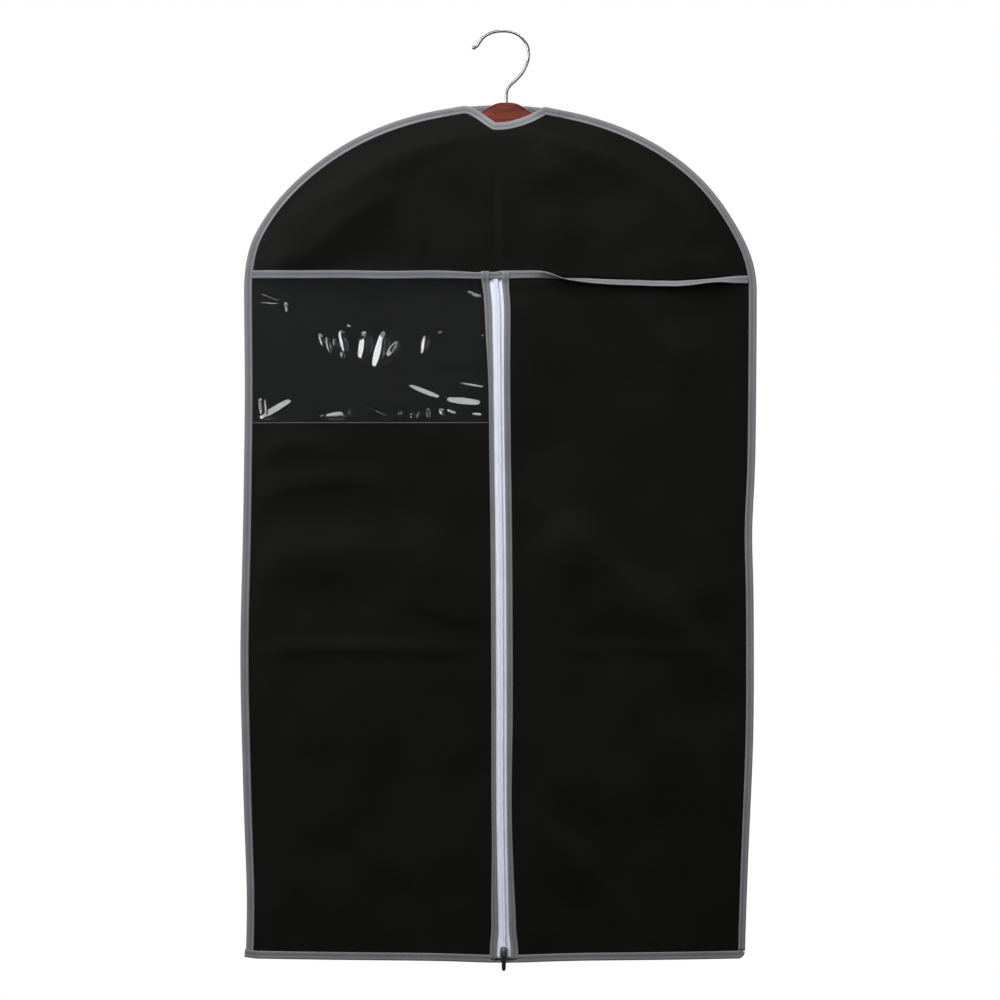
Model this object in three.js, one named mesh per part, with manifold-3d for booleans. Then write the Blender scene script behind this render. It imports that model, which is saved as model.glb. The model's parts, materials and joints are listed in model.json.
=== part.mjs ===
// A hanging garment bag (suit cover) on a wooden coat hanger with a swivelling wire hook.
// Millimetres, +Z up, the front faces -Y. The origin is where the hook sits on a wardrobe rail.
import * as THREE from "three";
import { mergeVertices } from "three/addons/utils/BufferGeometryUtils.js";
import Module from "manifold-3d";

const wasm = await Module();
wasm.setup();

// ---------------------------------------------------------------- driving dimensions

// The bag's cut: a rectangle with a half-elliptical top.
const BAG_WIDTH = 600;
const BAG_HEIGHT = 1000;
const DOME_RISE = 217;
const BAG_TOP_Z = -84;
const BAG_X = -3; // the bag hangs a little to one side of the hook's seat

// The bag's depth: front and back meet at the sides and the hem, and part towards the shoulders.
const SHEET_GAP = 0.2; // from the middle plane to the inner face of each sheet, where they meet
const HEM_HALF_DEPTH = 1.2;
const SHOULDER_HALF_DEPTH = 14.2;
const SHOULDER_Z = -181;
const RINGS = [
  // inset from the outline, share of the local half depth reached there
  [0, 0],
  [9, 0],
  [17, 0.62],
  [31, 0.84],
  [58, 1],
];

// Cloth, film and tapes.
const SHEET = 1; // a panel's thickness
const FILM = 0.6; // the window's thickness
const GAP = 0.35; // between pieces that touch
const LEG = 1; // one leg of a folded binding tape
const EDGE_TAPE = 9;
const SEAM_TAPE = 10;
const ZIP_TAPE = 8;
const NECK_TAPE = 9;

// The front.
const SEAM_Z = -288; // lower edge of the yoke
const WINDOW_BOTTOM_Z = -454;
const ZIP_GAP = 14; // between the two bound edges of the front
const ZIP_LEAN = 8; // the zip was sewn in this much further right at the hem than at the yoke
const NECK_X = 7; // centre of the neck opening, from the bag's centre line
const NECK_HALF_DEPTH = 7.6; // front and back stand this far from the middle plane at the neck
const NECK_FLAT = 32; // half width of that stretch
const NECK_END = 85; // where it has died away
const NECK_SPLIT = 62; // beyond this the edge tape holds front and back together

// The zip.
const STRINGER_WIDTH = 15;
const STRINGER = 0.8; // thickness of its woven tape
const COIL_WIDTH = 3;
const COIL_DEPTH = 1.9;
const CENTRE_GAP = 0.3; // from the middle to each coil

// The slider, at the bottom of the zip when the bag is shut.
const SLIDER_WIDTH = 9.2;
const SLIDER_LENGTH = 12.6;
const SLIDER_PLATE = 1.1;
const SLIDER_FLANGE = 1.1;
const DIAMOND_WIDTH = 2.4;
const DIAMOND_LENGTH = 4.4;
const BRIDGE_WIDTH = 2.2;
const BRIDGE_HEIGHT = 3.2;
const BRIDGE_BAR = 1.6;
const PULL_LENGTH = 22.8;
const PULL_WIDTH = 5.6;
const PULL_THICKNESS = 1.3;
const PULL_EYE = 5.6;

// The hanger.
const HANGER_X = 4; // the hook's shank and swivel axis
const HANGER_WIDTH = 420;
const HANGER_THICKNESS = 11;
const HANGER_TOP_Z = -83;
const HANGER_NECK_DEPTH = 45;
const HANGER_BEVEL = 2.6;
const BORE_RADIUS = 2.35;
const RECESS_RADIUS = 6;
const RECESS_DEPTH = 11;

// The hook.
const WIRE_RADIUS = 1.9;
const CROWN_RADIUS = 31; // to the wire's centre line
const TIP_BALL_RADIUS = 2.7;
const SHANK_BEND_RADIUS = 9;
const HEAD_RADIUS = 4.4;
const HEAD_DEPTH = 2;
const WASHER_RADIUS = 5.2;
const WASHER_DEPTH = 1;

// ---------------------------------------------------------------- worked-out dimensions

const HALF_WIDTH = BAG_WIDTH / 2;
const BAG_BOTTOM_Z = BAG_TOP_Z - BAG_HEIGHT;
const DOME_BASE_Z = BAG_TOP_Z - DOME_RISE;
const DEPTH_SLOPE = (SHOULDER_HALF_DEPTH - HEM_HALF_DEPTH) / (SHOULDER_Z - BAG_BOTTOM_Z);
const TAPE_STACK = SHEET + GAP + LEG; // from a sheet's inner face to the outside of its tape
const HEM_TOP_Z = BAG_BOTTOM_Z + EDGE_TAPE;
const FRONT_TOP_Z = SEAM_Z - 0.4; // the front panels end just clear of the tapes around them
const FRONT_BOTTOM_Z = HEM_TOP_Z + 0.4;
const ZIP_BOTTOM_Z = BAG_BOTTOM_Z + 1.6; // the zip runs down over the hem, in a notch in its tape's front
const PANEL_SIDE_X = HALF_WIDTH - EDGE_TAPE - 1;
const ZIP_EDGE_X = ZIP_GAP / 2;
const FOLD = LEG + GAP; // a sheet's edge stops this far inside its folded tape
const FAR = 2000; // beyond everything

const FRONT = -1;
const BACK = 1;

// ---------------------------------------------------------------- materials

function material(color, roughness, metalness = 0, opacity = 1) {
  return new THREE.MeshStandardMaterial({
    color,
    roughness,
    metalness,
    opacity,
    transparent: opacity < 1,
  });
}
const BLACK_CLOTH = material(0x1b1b1b, 0.9);
const GREY_TAPE = material(0x77777b, 0.85);
const CLEAR_FILM = material(0xdfe3e8, 0.08, 0, 0.3);
const WHITE_ZIP = material(0xd8dae8, 0.8);
const WHITE_COIL = material(0xe2e4f0, 0.4);
const DARK_METAL = material(0x3a3732, 0.35, 0.9);
const CHROME = material(0xc8c8c8, 0.15, 1);
const STEEL = material(0xa8a8a8, 0.35, 1);
const CHERRY_WOOD = material(0x6a3226, 0.35);

// ---------------------------------------------------------------- solids and booleans

function solidOf(geometry) {
  const bare = geometry.clone();
  bare.deleteAttribute("normal");
  bare.deleteAttribute("uv");
  const merged = mergeVertices(bare, 1e-4);
  return new wasm.Manifold(
    new wasm.Mesh({
      numProp: 3,
      vertProperties: merged.attributes.position.array,
      triVerts: new Uint32Array(merged.index.array),
    }),
  );
}

function geometryOf(solid) {
  const mesh = solid.getMesh();
  const geometry = new THREE.BufferGeometry();
  geometry.setAttribute("position", new THREE.BufferAttribute(mesh.vertProperties, 3));
  geometry.setIndex(new THREE.BufferAttribute(mesh.triVerts, 1));
  const faceted = geometry.toNonIndexed();
  faceted.computeVertexNormals();
  return faceted;
}

function part(name, solid, finish) {
  const mesh = new THREE.Mesh(geometryOf(solid), finish);
  mesh.name = name;
  return mesh;
}

// A solid of that outline, points of [x, z], running along Y from y0 to y1.
function prism(outline, y0 = -FAR, y1 = FAR) {
  const shape = new THREE.Shape(outline.map(([x, z]) => new THREE.Vector2(x, z)));
  const geometry = new THREE.ExtrudeGeometry(shape, { depth: y1 - y0, bevelEnabled: false });
  geometry.rotateX(Math.PI / 2);
  geometry.translate(0, y1, 0);
  return solidOf(geometry);
}

function rectangle(x0, x1, z0, z1) {
  return [
    [x0, z0],
    [x1, z0],
    [x1, z1],
    [x0, z1],
  ];
}

// How far the zip's middle stands from the bag's centre line.
function zipX(z) {
  return ZIP_LEAN * ((SEAM_Z - z) / (SEAM_Z - BAG_BOTTOM_Z) - 0.5);
}

// An upright strip along the zip, from a to b to the right of its middle.
function zipStrip(a, b, z0, z1) {
  return [
    [zipX(z0) + a, z0],
    [zipX(z0) + b, z0],
    [zipX(z1) + b, z1],
    [zipX(z1) + a, z1],
  ];
}

function block(x0, x1, y0, y1, z0, z1) {
  return prism(rectangle(x0, x1, z0, z1), y0, y1);
}

function uprightCylinder(radius, z0, z1, sides = 20) {
  const geometry = new THREE.CylinderGeometry(radius, radius, z1 - z0, sides);
  geometry.rotateX(Math.PI / 2);
  geometry.translate(0, 0, (z0 + z1) / 2);
  return solidOf(geometry);
}

// ---------------------------------------------------------------- the bag's form

// The outline, inset evenly, from the bottom left over the dome to the bottom right.
// Its points are closest together at the neck.
const DOME_STEPS = 34;
function outlineOver(inset) {
  const a = HALF_WIDTH - inset;
  const b = DOME_RISE - inset;
  const points = [[-a, BAG_BOTTOM_Z]];
  for (let i = 0; i <= DOME_STEPS; i++) {
    const u = (2 * i) / DOME_STEPS - 1;
    const angle = (Math.PI / 2) * u * Math.abs(u) ** 0.35;
    points.push([a * Math.sin(angle), DOME_BASE_Z + b * Math.cos(angle)]);
  }
  points.push([a, BAG_BOTTOM_Z]);
  return points;
}

// The same outline closed by the hem.
function closedOutline(inset) {
  const points = outlineOver(inset);
  points.at(0)[1] += inset;
  points.at(-1)[1] += inset;
  return points;
}

function neckShare(x) {
  const beyond = (Math.abs(x - NECK_X) - NECK_FLAT) / (NECK_END - NECK_FLAT);
  return 0.5 * (1 + Math.cos(Math.PI * THREE.MathUtils.clamp(beyond, 0, 1)));
}

function neckDepth(x, z) {
  return z > DOME_BASE_Z ? NECK_HALF_DEPTH * neckShare(x) : 0;
}

function depthAt(z) {
  return HEM_HALF_DEPTH + DEPTH_SLOPE * (z - BAG_BOTTOM_Z);
}

// Distance from the middle plane to a sheet's inner face.
function innerFace(x, z, share) {
  return SHEET_GAP + Math.max(depthAt(z) * share, neckDepth(x, z));
}

// The whole front or back as one curved layer, from t0 to t1 outside the sheets' inner face.
function layer(side, t0, t1) {
  const rings = RINGS.map(([inset, share]) =>
    outlineOver(inset).map(([x, z]) => [x, innerFace(x, z, share), z]),
  );
  const count = rings[0].length;
  const size = rings.length * count;
  const positions = [];
  for (const t of [t0, t1])
    for (const ring of rings) for (const [x, y, z] of ring) positions.push(x, side * (y + t), z);

  const skin = [];
  for (let k = 0; k + 1 < rings.length; k++)
    for (let i = 0; i + 1 < count; i++) {
      const a = k * count + i;
      const b = a + count;
      skin.push([a, a + 1, b + 1], [a, b + 1, b]);
    }
  const last = (rings.length - 1) * count;
  const middle = rings.at(-1).map(([x, , z]) => new THREE.Vector2(x, z));
  for (const [a, b, c] of THREE.ShapeUtils.triangulateShape(middle, []))
    skin.push([last + a, last + b, last + c].reverse());

  const rim = [...Array(count).keys()];
  for (let k = 1; k < rings.length; k++) rim.push(k * count + count - 1);
  for (let k = rings.length - 1; k > 0; k--) rim.push(k * count);

  const facesOut = side === BACK;
  const triangles = [];
  const add = (a, b, c) => triangles.push(...(facesOut ? [a, b, c] : [a, c, b]));
  for (const [a, b, c] of skin) {
    add(c + size, b + size, a + size);
    add(a, b, c);
  }
  rim.forEach((a, i) => {
    const b = rim[(i + 1) % rim.length];
    add(a, a + size, b);
    add(b, a + size, b + size);
  });

  const geometry = new THREE.BufferGeometry();
  geometry.setAttribute("position", new THREE.Float32BufferAttribute(positions, 3));
  geometry.setIndex(triangles);
  const solid = solidOf(geometry);
  if (solid.volume() > 0) return solid;
  geometry.setIndex(triangles.reverse());
  return solidOf(geometry);
}

// The V-shaped neck opening, or the same grown outwards by a few millimetres.
function notch(grow) {
  const top = BAG_TOP_Z + 40;
  const left = (top + 105) * 0.81; // how far each edge runs sideways on its way to the top
  const right = (top + 105) * 1.952;
  const vertex = [-4 - 0.27 * grow, -105 - 1.26 * grow];
  return [vertex, [vertex[0] + right, top + 1], [vertex[0] - left, top + 1]];
}

// ---------------------------------------------------------------- cloth pieces

// Where the yoke's cloth lies, or the same grown outwards by that clearance.
function yokeRegion(clear) {
  const inset = FOLD - clear;
  return prism(closedOutline(inset))
    .intersect(prism(rectangle(-FAR, FAR, SEAM_Z + inset, 0)))
    .subtract(prism(notch(inset)));
}

// A tape folded over the edge of one front sheet: the band less the sheet that it holds.
function binding(band, sheetRegion) {
  const tape = layer(FRONT, 0, TAPE_STACK).intersect(band);
  const held = layer(FRONT, -GAP, SHEET + GAP).intersect(sheetRegion);
  return tape.subtract(held);
}

function backPanel() {
  return layer(BACK, 0, SHEET).intersect(prism(closedOutline(FOLD)));
}

function frontYoke() {
  return layer(FRONT, 0, SHEET).intersect(yokeRegion(0));
}

// Everything on one side of the zip, starting that far from its middle.
function beyondZip(side, start) {
  const [a, b] = side < 0 ? [-FAR, -start] : [start, FAR];
  return prism(zipStrip(a, b, BAG_BOTTOM_Z, BAG_TOP_Z));
}

// A front panel or the window, between a side tape and the zip. side is -1 left, 1 right.
function frontSheet(side, z0, z1, thickness) {
  const region = prism(rectangle(-PANEL_SIDE_X, PANEL_SIDE_X, z0, z1)).intersect(
    beyondZip(side, ZIP_EDGE_X + FOLD),
  );
  return layer(FRONT, 0, thickness).intersect(region);
}

// ---------------------------------------------------------------- binding tapes

// The tape round the outside, up one side, over the dome and down the other side.
// It folds over front and back together, but over the back alone behind the neck opening.
function edgeBinding() {
  const outer = outlineOver(0);
  const inner = outlineOver(EDGE_TAPE);
  for (const line of [outer, inner]) {
    line.at(0)[1] = HEM_TOP_Z + GAP;
    line.at(-1)[1] = HEM_TOP_Z + GAP;
  }
  const rows = (backOnly) =>
    outer.map(([x, z], i) => {
      const [xi, zi] = inner[i];
      const share = LEG / EDGE_TAPE;
      const [xs, zs] = [x + (xi - x) * share, z + (zi - z) * share];
      const face = innerFace(x, z, 0);
      const faceInside = innerFace(xi, zi, 0);
      const section = [
        [x, z, face],
        [xi, zi, faceInside],
        [xs, zs, face + (faceInside - face) * share],
      ];
      const [o, n, m] = section.map(([px, pz, y]) => ({
        x: px,
        z: pz,
        high: y + TAPE_STACK,
        low: backOnly ? y - FOLD : -y - TAPE_STACK,
      }));
      return [
        [o.x, o.low, o.z],
        [n.x, n.low, n.z],
        [n.x, n.low + LEG, n.z],
        [m.x, m.low + LEG, m.z],
        [m.x, m.high - LEG, m.z],
        [n.x, n.high - LEG, n.z],
        [n.x, n.high, n.z],
        [o.x, o.high, o.z],
      ];
    });
  const neck = prism(rectangle(NECK_X - NECK_SPLIT, NECK_X + NECK_SPLIT, DOME_BASE_Z, 0));
  const aroundBoth = loft(rows(false)).subtract(neck);
  return aroundBoth.add(loft(rows(true)).intersect(neck));
}

// A closed solid through rows of matching section points.
function loft(rows) {
  const n = rows[0].length;
  const positions = rows.flat(2);
  const triangles = [];
  for (let r = 0; r + 1 < rows.length; r++)
    for (let i = 0; i < n; i++) {
      const a = r * n + i;
      const b = r * n + ((i + 1) % n);
      triangles.push(a, b, b + n, a, b + n, a + n);
    }
  // The ends of a folded tape's C-shaped section.
  const cap = [
    [0, 1, 2],
    [0, 2, 3],
    [0, 3, 4],
    [0, 4, 7],
    [4, 5, 6],
    [4, 6, 7],
  ];
  const end = (rows.length - 1) * n;
  for (const [a, b, c] of cap) triangles.push(c, b, a, end + a, end + b, end + c);
  const geometry = new THREE.BufferGeometry();
  geometry.setAttribute("position", new THREE.Float32BufferAttribute(positions, 3));
  geometry.setIndex(triangles);
  const solid = solidOf(geometry);
  if (solid.volume() > 0) return solid;
  geometry.setIndex(triangles.reverse());
  return solidOf(geometry);
}

function hemBinding() {
  const slotHalf = innerFace(0, HEM_TOP_Z, 1) + SHEET + GAP;
  const half = slotHalf + LEG;
  const outside = block(-HALF_WIDTH, HALF_WIDTH, -half, half, BAG_BOTTOM_Z, HEM_TOP_Z);
  const slotBottom = BAG_BOTTOM_Z + LEG;
  const zipAt = zipX(HEM_TOP_Z);
  const zipHalf = ZIP_EDGE_X + ZIP_TAPE + 0.5;
  return outside
    .subtract(block(-HALF_WIDTH - 1, HALF_WIDTH + 1, -slotHalf, slotHalf, slotBottom, HEM_TOP_Z + 1))
    .subtract(
      block(zipAt - zipHalf, zipAt + zipHalf, -half - 1, 1 - slotHalf, slotBottom, HEM_TOP_Z + 1),
    );
}

function neckBinding() {
  const reach = NECK_SPLIT - GAP;
  const overDome = prism(outlineOver(0))
    .subtract(prism(outlineOver(NECK_TAPE)))
    .intersect(prism(rectangle(NECK_X - reach, NECK_X + reach, DOME_BASE_Z, 0)));
  const band = overDome
    .add(prism(notch(NECK_TAPE)))
    .subtract(prism(notch(0)));
  return binding(band, yokeRegion(GAP));
}

function seamBinding() {
  const end = PANEL_SIDE_X - 2.6;
  const band = prism(rectangle(-end, end, SEAM_Z, SEAM_Z + SEAM_TAPE));
  return binding(band, yokeRegion(GAP));
}

function zipBinding(side) {
  const ends = [side * ZIP_EDGE_X, side * (ZIP_EDGE_X + ZIP_TAPE)].sort((a, b) => a - b);
  const band = prism(zipStrip(...ends, ZIP_BOTTOM_Z, FRONT_TOP_Z));
  return binding(band, beyondZip(side, ZIP_EDGE_X + LEG));
}

// ---------------------------------------------------------------- the zip

const sliderZ0 = ZIP_BOTTOM_Z + 1;
const sliderZ1 = sliderZ0 + SLIDER_LENGTH;
const sliderX = zipX((sliderZ0 + sliderZ1) / 2);
const sliderFace = -innerFace(0, (sliderZ0 + sliderZ1) / 2, 1); // y of the sheets' inner face there
const stringerBack = GAP + STRINGER; // behind that face
const coilFront = COIL_DEPTH - 0.05;

function zipStringer(side) {
  const x0 = side < 0 ? -STRINGER_WIDTH : CENTRE_GAP + 0.1;
  const x1 = side < 0 ? -CENTRE_GAP - 0.1 : STRINGER_WIDTH;
  const strip = layer(FRONT, -stringerBack, -GAP).intersect(
    prism(zipStrip(x0, x1, ZIP_BOTTOM_Z, FRONT_TOP_Z)),
  );
  const clear = DIAMOND_WIDTH / 2 + GAP;
  const parted = prism(zipStrip(-clear, clear, BAG_BOTTOM_Z, sliderZ0 + DIAMOND_LENGTH + GAP));
  return strip.subtract(parted);
}

function zipCoil(side) {
  const x0 = side < 0 ? -COIL_WIDTH : CENTRE_GAP;
  const x1 = side < 0 ? -CENTRE_GAP : COIL_WIDTH;
  const z0 = sliderZ0 + DIAMOND_LENGTH + GAP;
  return layer(FRONT, -0.05, coilFront).intersect(prism(zipStrip(x0, x1, z0, FRONT_TOP_Z)));
}

// Depths here are measured forwards from the sheets' inner face.
function sliderBlock(x, t0, t1, z0, z1) {
  return block(-x, x, sliderFace - t1, sliderFace - t0, z0, z1);
}

const cavityBack = -stringerBack - GAP;
const cavityFront = coilFront + GAP;
const plateFront = cavityFront + SLIDER_PLATE;
const bridgeZ0 = sliderZ0 + 1.1;
const bridgeZ1 = sliderZ1 - 1.1;
const pivotZ = (bridgeZ0 + bridgeZ1) / 2 + 0.4;
const pivotDepth = plateFront + 1.05;
const pivotY = sliderFace - pivotDepth;

function sliderBody() {
  const half = SLIDER_WIDTH / 2;
  const bridgeTop = plateFront + BRIDGE_HEIGHT;
  const nose = DIAMOND_WIDTH / 2;
  return sliderBlock(half, cavityBack - SLIDER_PLATE, plateFront, sliderZ0, sliderZ1)
    .subtract(
      sliderBlock(half - SLIDER_FLANGE, cavityBack, cavityFront, sliderZ0 - 1, sliderZ1 + 1),
    )
    .subtract(sliderBlock(half + 1, cavityBack, 0, sliderZ0 - 1, sliderZ1 + 1))
    .add(
      sliderBlock(nose, cavityBack - 0.5, plateFront - 0.5, sliderZ0, sliderZ0 + DIAMOND_LENGTH),
    )
    .add(sliderBlock(BRIDGE_WIDTH / 2, plateFront - 0.5, bridgeTop, bridgeZ0, bridgeZ1))
    .subtract(
      sliderBlock(
        BRIDGE_WIDTH,
        plateFront,
        bridgeTop - 1.1,
        bridgeZ0 + BRIDGE_BAR,
        bridgeZ1 - BRIDGE_BAR,
      ),
    )
    .translate(sliderX, 0, 0);
}

// A tab with an eye at its top. The eye's bar runs through the slider's bridge.
function pullTab() {
  const bar = PULL_THICKNESS / 2;
  const half = PULL_WIDTH / 2;
  const tip = pivotZ + bar - PULL_LENGTH;
  const tab = new THREE.Shape();
  tab.moveTo(-half, pivotZ + bar);
  tab.lineTo(-half, pivotZ - 12);
  tab.lineTo(-half + 0.7, tip + 3);
  tab.quadraticCurveTo(-half + 0.9, tip, 0, tip);
  tab.quadraticCurveTo(half - 0.9, tip, half - 0.7, tip + 3);
  tab.lineTo(half, pivotZ - 12);
  tab.lineTo(half, pivotZ + bar);
  tab.closePath();
  const outline = tab.getPoints(5).map((p) => [p.x, p.y]);
  const eye = rectangle(-1.6, 1.6, pivotZ - bar - PULL_EYE, pivotZ - bar);
  return prism(outline, pivotY - bar, pivotY + bar).subtract(prism(eye)).translate(sliderX, 0, 0);
}

// ---------------------------------------------------------------- the hanger

// Half of the hanger's outline, from the top of its neck to the middle of its underside.
function hangerHalf() {
  const reach = HANGER_WIDTH / 2 - HANGER_BEVEL;
  const top = new THREE.CatmullRomCurve3(
    [
      [0, HANGER_TOP_Z],
      [12, -85.5],
      [38, -98],
      [100, -118],
      [160, -145],
      [reach - 6, -174],
    ].map(([x, z]) => new THREE.Vector3(x, 0, z)),
  ).getPoints(16);
  const under = new THREE.CatmullRomCurve3(
    [
      [reach - 9, -189],
      [160, -169],
      [100, -145],
      [45, -132],
      [14, HANGER_TOP_Z - HANGER_NECK_DEPTH],
    ].map(([x, z]) => new THREE.Vector3(x, 0, z)),
  ).getPoints(12);
  const tip = [
    [reach, -180],
    [reach - 1, -186],
  ];
  return [...top.map((p) => [p.x, p.z]), ...tip, ...under.map((p) => [p.x, p.z])];
}

function hangerBody() {
  const right = hangerHalf();
  const left = right
    .slice(1)
    .reverse()
    .map(([x, z]) => [-x, z]);
  const shape = new THREE.Shape(
    [...right, ...left].map(([x, z]) => new THREE.Vector2(x, z - HANGER_BEVEL)),
  );
  const geometry = new THREE.ExtrudeGeometry(shape, {
    depth: HANGER_THICKNESS - 2 * HANGER_BEVEL,
    bevelThickness: HANGER_BEVEL,
    bevelSize: HANGER_BEVEL,
    bevelSegments: 2,
  });
  geometry.rotateX(Math.PI / 2);
  geometry.translate(0, HANGER_THICKNESS / 2 - HANGER_BEVEL, 0);
  const bottom = HANGER_TOP_Z - HANGER_NECK_DEPTH - 2 * HANGER_BEVEL;
  return solidOf(geometry)
    .subtract(uprightCylinder(BORE_RADIUS, bottom - 1, HANGER_TOP_Z + 1, 16))
    .subtract(
      block(
        -RECESS_RADIUS,
        RECESS_RADIUS,
        -FAR,
        FAR,
        bottom - 1,
        bottom + RECESS_DEPTH,
      ).intersect(uprightCylinder(RECESS_RADIUS - 1, bottom - 2, bottom + RECESS_DEPTH, 20)),
    );
}

const recessTopZ = HANGER_TOP_Z - HANGER_NECK_DEPTH - 2 * HANGER_BEVEL + RECESS_DEPTH;
const washerTopZ = recessTopZ - 0.3;
const headTopZ = washerTopZ - WASHER_DEPTH - 0.3;

function swivelWasher() {
  return uprightCylinder(WASHER_RADIUS - 0.6, washerTopZ - WASHER_DEPTH, washerTopZ).subtract(
    uprightCylinder(BORE_RADIUS, washerTopZ - WASHER_DEPTH - 1, washerTopZ + 1, 16),
  );
}

// ---------------------------------------------------------------- the hook

// An arc in the XZ plane about (cx, cz), from one angle to another, in degrees from +X.
class UprightArc extends THREE.Curve {
  constructor(cx, cz, radius, from, to) {
    super();
    Object.assign(this, { cx, cz, radius, from, to });
  }
  getPoint(t, target = new THREE.Vector3()) {
    const angle = THREE.MathUtils.degToRad(this.from + (this.to - this.from) * t);
    return target.set(
      this.cx + this.radius * Math.cos(angle),
      0,
      this.cz + this.radius * Math.sin(angle),
    );
  }
}

const CROWN_Z = WIRE_RADIUS - CROWN_RADIUS; // the crown's centre: its inside top is the origin
const CROWN_END = -46; // where the crown's arc runs into the straight above the shank
const CROWN_START = 152;
const TIP_LENGTH = 9;

// The wire's centre line, from the tip over the crown and down to the head.
function hookPath() {
  const degrees = Math.PI / 180;
  const crown = new UprightArc(0, CROWN_Z, CROWN_RADIUS, CROWN_START, CROWN_END);
  const start = crown.getPoint(0);
  const end = crown.getPoint(1);
  const tip = new THREE.Vector3(start.x - TIP_LENGTH, 0, start.z - 3);
  const heading = new THREE.Vector3(Math.sin(CROWN_END * degrees), 0, -Math.cos(CROWN_END * degrees));
  // The bend into the shank is an arc to the right of which the straight arrives.
  const bend = new UprightArc(
    HANGER_X + SHANK_BEND_RADIUS,
    0,
    SHANK_BEND_RADIUS,
    180 + CROWN_END,
    180,
  );
  const joint = bend.getPoint(0);
  const run = (joint.x - end.x) / heading.x;
  bend.cz = end.z + heading.z * run - joint.z;
  // The outer bend from the tip into the crown is eased by its middle point.
  const path = new THREE.CurvePath();
  path.add(new THREE.LineCurve3(tip, start));
  path.add(crown);
  path.add(new THREE.LineCurve3(end, bend.getPoint(0)));
  path.add(bend);
  path.add(new THREE.LineCurve3(bend.getPoint(1), new THREE.Vector3(HANGER_X, 0, headTopZ - 1)));
  return { path, tip };
}

function hook() {
  const { path, tip } = hookPath();
  const section = new THREE.Shape();
  section.absarc(0, 0, WIRE_RADIUS, 0, 2 * Math.PI);
  const wire = new THREE.ExtrudeGeometry(section, {
    steps: 84,
    curveSegments: 10,
    extrudePath: path,
    bevelEnabled: false,
  });
  const ball = new THREE.SphereGeometry(TIP_BALL_RADIUS, 14, 10);
  ball.translate(tip.x, tip.y, tip.z);
  const head = uprightCylinder(HEAD_RADIUS, headTopZ - HEAD_DEPTH, headTopZ);
  return solidOf(wire).add(solidOf(ball)).add(head.translate(HANGER_X, 0, 0));
}

// ---------------------------------------------------------------- assembly

const LEFT = -1;
const RIGHT = 1;

const bag = new THREE.Group();
bag.position.x = BAG_X;
bag.add(
  part("back_panel", backPanel(), BLACK_CLOTH),
  part("front_yoke", frontYoke(), BLACK_CLOTH),
  part("left_panel", frontSheet(LEFT, FRONT_BOTTOM_Z, WINDOW_BOTTOM_Z - GAP, SHEET), BLACK_CLOTH),
  part("right_panel", frontSheet(RIGHT, FRONT_BOTTOM_Z, FRONT_TOP_Z, SHEET), BLACK_CLOTH),
  part("window", frontSheet(LEFT, WINDOW_BOTTOM_Z, FRONT_TOP_Z, FILM), CLEAR_FILM),
  part("edge_binding", edgeBinding(), GREY_TAPE),
  part("hem_binding", hemBinding(), GREY_TAPE),
  part("neck_binding", neckBinding(), GREY_TAPE),
  part("yoke_seam_binding", seamBinding(), GREY_TAPE),
  part("zip_binding_left", zipBinding(LEFT), GREY_TAPE),
  part("zip_binding_right", zipBinding(RIGHT), GREY_TAPE),
  part("zip_tape_left", zipStringer(LEFT), WHITE_ZIP),
  part("zip_tape_right", zipStringer(RIGHT), WHITE_ZIP),
  part("zip_coil_left", zipCoil(LEFT), WHITE_COIL),
  part("zip_coil_right", zipCoil(RIGHT), WHITE_COIL),
  part("slider_body", sliderBody(), DARK_METAL),
  part("pull_tab", pullTab(), DARK_METAL),
);

const hanger = new THREE.Group();
hanger.position.x = HANGER_X;
hanger.add(
  part("hanger_body", hangerBody(), CHERRY_WOOD),
  part("swivel_washer", swivelWasher(), STEEL),
);

const garmentBag = new THREE.Group();
garmentBag.add(bag, hanger, part("hook", hook(), CHROME));

export default garmentBag;
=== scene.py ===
"""A black zipped garment bag with grey bound edges, hung on a wooden hanger with a chrome hook."""

import json
import math

import bmesh
import bpy
import numpy as np
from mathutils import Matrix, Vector


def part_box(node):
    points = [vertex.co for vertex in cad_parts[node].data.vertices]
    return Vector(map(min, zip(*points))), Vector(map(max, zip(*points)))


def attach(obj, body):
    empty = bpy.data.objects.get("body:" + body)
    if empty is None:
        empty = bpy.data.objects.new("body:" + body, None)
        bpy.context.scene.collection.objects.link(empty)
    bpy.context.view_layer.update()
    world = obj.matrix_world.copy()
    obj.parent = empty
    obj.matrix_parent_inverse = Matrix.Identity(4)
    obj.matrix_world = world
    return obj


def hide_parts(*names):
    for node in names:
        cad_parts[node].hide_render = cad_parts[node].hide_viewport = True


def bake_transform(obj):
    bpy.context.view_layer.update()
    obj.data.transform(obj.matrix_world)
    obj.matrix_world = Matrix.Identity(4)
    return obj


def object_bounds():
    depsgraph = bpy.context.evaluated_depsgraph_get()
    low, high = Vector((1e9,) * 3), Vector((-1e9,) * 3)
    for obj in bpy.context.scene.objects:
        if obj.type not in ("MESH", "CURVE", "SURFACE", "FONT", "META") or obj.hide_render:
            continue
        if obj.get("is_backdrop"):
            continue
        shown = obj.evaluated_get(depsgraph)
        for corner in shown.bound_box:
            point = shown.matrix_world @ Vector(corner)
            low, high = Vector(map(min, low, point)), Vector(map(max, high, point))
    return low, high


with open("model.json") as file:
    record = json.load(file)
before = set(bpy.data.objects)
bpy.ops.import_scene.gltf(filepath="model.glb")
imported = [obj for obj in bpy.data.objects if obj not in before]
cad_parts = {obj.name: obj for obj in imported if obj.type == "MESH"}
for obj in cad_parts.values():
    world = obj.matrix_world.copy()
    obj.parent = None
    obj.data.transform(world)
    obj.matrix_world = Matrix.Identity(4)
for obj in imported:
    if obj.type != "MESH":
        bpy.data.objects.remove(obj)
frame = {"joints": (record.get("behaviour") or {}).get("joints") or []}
cad_low, cad_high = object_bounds()
scene = bpy.context.scene

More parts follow.
